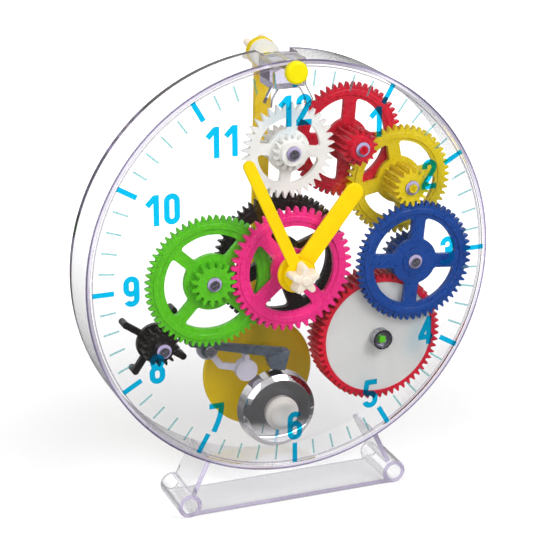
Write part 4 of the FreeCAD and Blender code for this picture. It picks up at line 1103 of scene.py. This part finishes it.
def draw_stroke(start, heading, moves):
    """Draws one stroke. A move is ("go", length) or ("turn", radius, degrees), left turns positive."""
    x, y = start
    bpy.ops.mesh.primitive_plane_add(size=1, location=(0, 0, 0))
    stroke = bpy.context.object
    for vertex in stroke.data.vertices:
        along, across = vertex.co.x * NIB_LENGTH, vertex.co.y * NIB
        turn = Matrix.Rotation(math.radians(heading), 2)
        placed = turn @ Vector((along, across))
        vertex.co = (placed.x + x, placed.y + y, 0)
    bpy.ops.object.mode_set(mode="EDIT")
    bpy.ops.mesh.select_mode(type="VERT")
    bpy.ops.mesh.select_all(action="DESELECT")
    mesh = bmesh.from_edit_mesh(stroke.data)
    ahead = Vector((math.cos(math.radians(heading)), math.sin(math.radians(heading)), 0))
    for vertex in mesh.verts:
        vertex.select = (vertex.co - Vector((x, y, 0))).dot(ahead) < 0
    bmesh.update_edit_mesh(stroke.data)
    bpy.ops.mesh.delete(type="VERT")
    bpy.ops.mesh.select_all(action="SELECT")
    bpy.ops.mesh.select_mode(type="EDGE")
    place = Vector((x, y, 0)) + ahead * NIB_LENGTH / 2
    for move in moves:
        ahead = Vector((math.cos(math.radians(heading)), math.sin(math.radians(heading)), 0))
        if move[0] == "go":
            bpy.ops.mesh.extrude_edges_move(TRANSFORM_OT_translate={"value": ahead * move[1]})
            place = place + ahead * move[1]
        else:
            _, radius, degrees = move
            side = 1 if degrees > 0 else -1
            left = Vector((-ahead.y, ahead.x, 0))
            centre = place + left * radius * side
            bpy.ops.mesh.spin(
                steps=max(2, round(abs(degrees) / TURN_STEP)),
                angle=-math.radians(degrees),
                center=centre,
                axis=(0, 0, 1),
            )
            place = centre + Matrix.Rotation(math.radians(degrees), 3, "Z") @ (place - centre)
            heading += degrees
    bpy.ops.object.mode_set(mode="OBJECT")
    return stroke


# %% [markdown]
# Each digit is a few strokes on a field one unit high and about half a unit wide. The nine is the six
# turned upside down.

# %% The strokes of the digits
DIGIT_WIDTH = 0.52
WIDE_TURN = 0.1675
RING = [("go", 0.48), ("turn", WIDE_TURN, -180)] * 2
SMALL_RING = [("go", 0.15), ("turn", WIDE_TURN, -180)] * 2
UPPER_RING = [("go", 0.07), ("turn", 0.1375, -180)] * 2
LOWER_RING = [("go", 0.115), ("turn", WIDE_TURN, -180)] * 2
SIX_HOOK = [("go", 0.40), ("turn", WIDE_TURN, -155)]
DIGITS = {
    "0": [((0.0925, 0.26), 90, RING)],
    "1": [((0.355, 1.0), 270, [("go", 1.0)]), ((0.06, 0.66), 46, [("go", 0.36)])],
    "2": [
        ((0.0925, 0.68), 90, [("go", 0.06), ("turn", WIDE_TURN, -180), ("turn", 0.2, -32), ("go", 0.62)]),
        ((0.0, 0.0925), 0, [("go", 0.52)]),
    ],
    "3": [
        (
            (0.0925, 0.70),
            90,
            [("go", 0.04), ("turn", WIDE_TURN, -180), ("go", 0.03), ("turn", WIDE_TURN, -90), ("go", 0.05)],
        ),
        ((0.17, 0.5425), 0, [("go", 0.0325), ("turn", 0.225, -180), ("turn", 0.12, -75)]),
    ],
    "4": [
        ((0.375, 1.0), 270, [("go", 1.0)]),
        ((0.0, 0.265), 0, [("go", 0.52)]),
        ((0.06, 0.25), 65, [("go", 0.76)]),
    ],
    "5": [
        ((0.10, 0.9075), 0, [("go", 0.39)]),
        ((0.145, 0.97), 261, [("go", 0.48)]),
        ((0.1, 0.45), 42, [("go", 0.03), ("turn", 0.183, -132), ("go", 0.0585), ("turn", 0.183, -165)]),
    ],
    "6": [((0.0925, 0.26), 90, SMALL_RING), ((0.0925, 0.34), 90, SIX_HOOK)],
    "7": [
        ((0.0, 0.9075), 0, [("go", 0.5)]),
        ((0.42, 0.9), 262, [("go", 0.2), ("turn", 1.3, -16), ("go", 0.37)]),
    ],
    "8": [((0.1225, 0.70), 90, UPPER_RING), ((0.0925, 0.26), 90, LOWER_RING)],
}
INK_SLAB = 0.03


def draw_digit(character):
    """One digit, a unit high, as a closed thin solid."""
    shape = "6" if character == "9" else character
    strokes = [draw_stroke(*stroke) for stroke in DIGITS[shape]]
    clear_selection()
    for stroke in strokes:
        activate(stroke)
        bpy.ops.object.mode_set(mode="EDIT")
        bpy.ops.mesh.select_all(action="SELECT")
        bpy.ops.mesh.remove_doubles(threshold=NIB_MERGE)
        bpy.ops.mesh.extrude_region_move(TRANSFORM_OT_translate={"value": (0, 0, INK_SLAB)})
        bpy.ops.mesh.select_all(action="SELECT")
        bpy.ops.mesh.normals_make_consistent(inside=False)
        bpy.ops.object.mode_set(mode="OBJECT")
    digit = strokes[0]
    for other in strokes[1:]:
        activate(digit)
        union = digit.modifiers.new("union", "BOOLEAN")
        union.operation = "UNION"
        union.solver = "EXACT"
        union.object = other
        bpy.ops.object.modifier_apply(modifier=union.name)
        bpy.data.objects.remove(other)
    if character == "9":
        digit.data.transform(Matrix.Rotation(math.pi, 4, "Z"))
        digit.data.transform(Matrix.Translation((DIGIT_WIDTH, 1.0, 0)))
    digit.name = "digit_" + character
    return digit


digits = {character: draw_digit(character) for character in "0123456789"}
print("digits:", {name: len(digit.data.polygons) for name, digit in digits.items()})

# %% [markdown]
# The upright numbers stand a little inside the ticks, all of one height. On the real dial a few of them
# are set closer in or a degree or two aside, and they are placed the same way here.

# %% Numbers on the dial
DIGIT_HEIGHT = 0.146 * DIAL_RADIUS
DIGIT_STEP = 0.66
NARROW_STEP = 0.60
NUMBER_TURNS = {1: 31, 11: 332}
NUMBER_RADIUS = {9: 0.7925, 10: 0.735, 11: 0.74, 12: 0.765}
USUAL_NUMBER_RADIUS = 0.785
PRINT_ASIDE = 0.7 * MM


def joined(pieces):
    """Makes one object of a list of them."""
    clear_selection()
    for piece in pieces:
        piece.select_set(True)
    bpy.context.view_layer.objects.active = pieces[0]
    if len(pieces) > 1:
        bpy.ops.object.join()
    return bpy.context.object


def place_number(number):
    """Copies the digits of a number to their place on the cover, as one piece."""
    text = str(number)
    radius = NUMBER_RADIUS.get(number, USUAL_NUMBER_RADIUS) * DIAL_RADIUS
    turn = math.radians(NUMBER_TURNS.get(number, number * 30))
    step = NARROW_STEP if text.startswith("1") else DIGIT_STEP
    width = DIGIT_WIDTH + step * (len(text) - 1)
    copies = []
    for place, character in enumerate(text):
        copy = digits[character].copy()
        copy.data = digits[character].data.copy()
        bpy.context.collection.objects.link(copy)
        for vertex in copy.data.vertices:
            across = (vertex.co.x + place * step - width / 2) * DIGIT_HEIGHT + PRINT_ASIDE
            up = (vertex.co.y - 0.5) * DIGIT_HEIGHT
            depth = INK_FACE + (1 - vertex.co.z / INK_SLAB) * INK_THICKNESS
            vertex.co = (
                radius * math.sin(turn) + across,
                depth,
                DIAL_HEIGHT + radius * math.cos(turn) + up,
            )
        copies.append(copy)
    piece = joined(copies)
    piece.name = "dial_number_" + text
    piece.data.materials.clear()
    piece.data.materials.append(number_ink)
    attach(piece, "case")


for number in range(1, 13):
    place_number(number)
for digit in digits.values():
    bpy.data.objects.remove(digit)
print("numbers", DIGIT_HEIGHT / MM, "mm high")


# %% [markdown]
# The ticks are bars of ink that point to the middle: broad for the hours and fine for the minutes. Those
# of the first hour are made and then spun round the dial in copies.


# %% Ticks on the dial
def ring_of_ticks(name, inner, outer, width, first_turns, ink):
    """Bars from one radius to another, repeated every 30 degrees."""
    bars = []
    for turn in first_turns:
        bpy.ops.mesh.primitive_plane_add(size=1)
        bar = bpy.context.object
        for vertex in bar.data.vertices:
            across = vertex.co.x * width
            along = inner + (vertex.co.y + 0.5) * (outer - inner)
            angle = math.radians(turn)
            vertex.co = (
                PRINT_ASIDE + along * math.sin(angle) + across * math.cos(angle),
                INK_FACE,
                DIAL_HEIGHT + along * math.cos(angle) - across * math.sin(angle),
            )
        bars.append(bar)
    ticks = joined(bars)
    bpy.ops.object.mode_set(mode="EDIT")
    bpy.ops.mesh.select_all(action="SELECT")
    bpy.ops.mesh.extrude_region_move(TRANSFORM_OT_translate={"value": (0, INK_THICKNESS, 0)})
    bpy.ops.mesh.select_all(action="SELECT")
    bpy.ops.mesh.normals_make_consistent(inside=False)
    bpy.ops.mesh.spin(
        steps=11,
        dupli=True,
        angle=math.radians(330),
        center=(PRINT_ASIDE, 0, DIAL_HEIGHT),
        axis=(0, 1, 0),
    )
    bpy.ops.object.mode_set(mode="OBJECT")
    ticks.name = name
    ticks.data.materials.append(ink)
    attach(ticks, "case")
    return ticks


TICK_START = 0.874 * DIAL_RADIUS
HOUR_TICK_END = 0.976 * DIAL_RADIUS
MINUTE_TICK_END = 0.950 * DIAL_RADIUS
HOUR_TICK_WIDTH = 0.0243 * DIAL_RADIUS
MINUTE_TICK_WIDTH = 0.009 * DIAL_RADIUS
MINUTE_TURNS = [6, 12, 18, 24]
hour_ticks = ring_of_ticks(
    "dial_hour_ticks", TICK_START, HOUR_TICK_END, HOUR_TICK_WIDTH, [0], number_ink
)
minute_ticks = ring_of_ticks(
    "dial_minute_ticks", TICK_START, MINUTE_TICK_END, MINUTE_TICK_WIDTH, MINUTE_TURNS, tick_ink
)
print("ticks:", len(hour_ticks.data.polygons) // 6, "and", len(minute_ticks.data.polygons) // 6)

# %% [markdown]
# ## Close
#

# %% Finish
clear_selection()
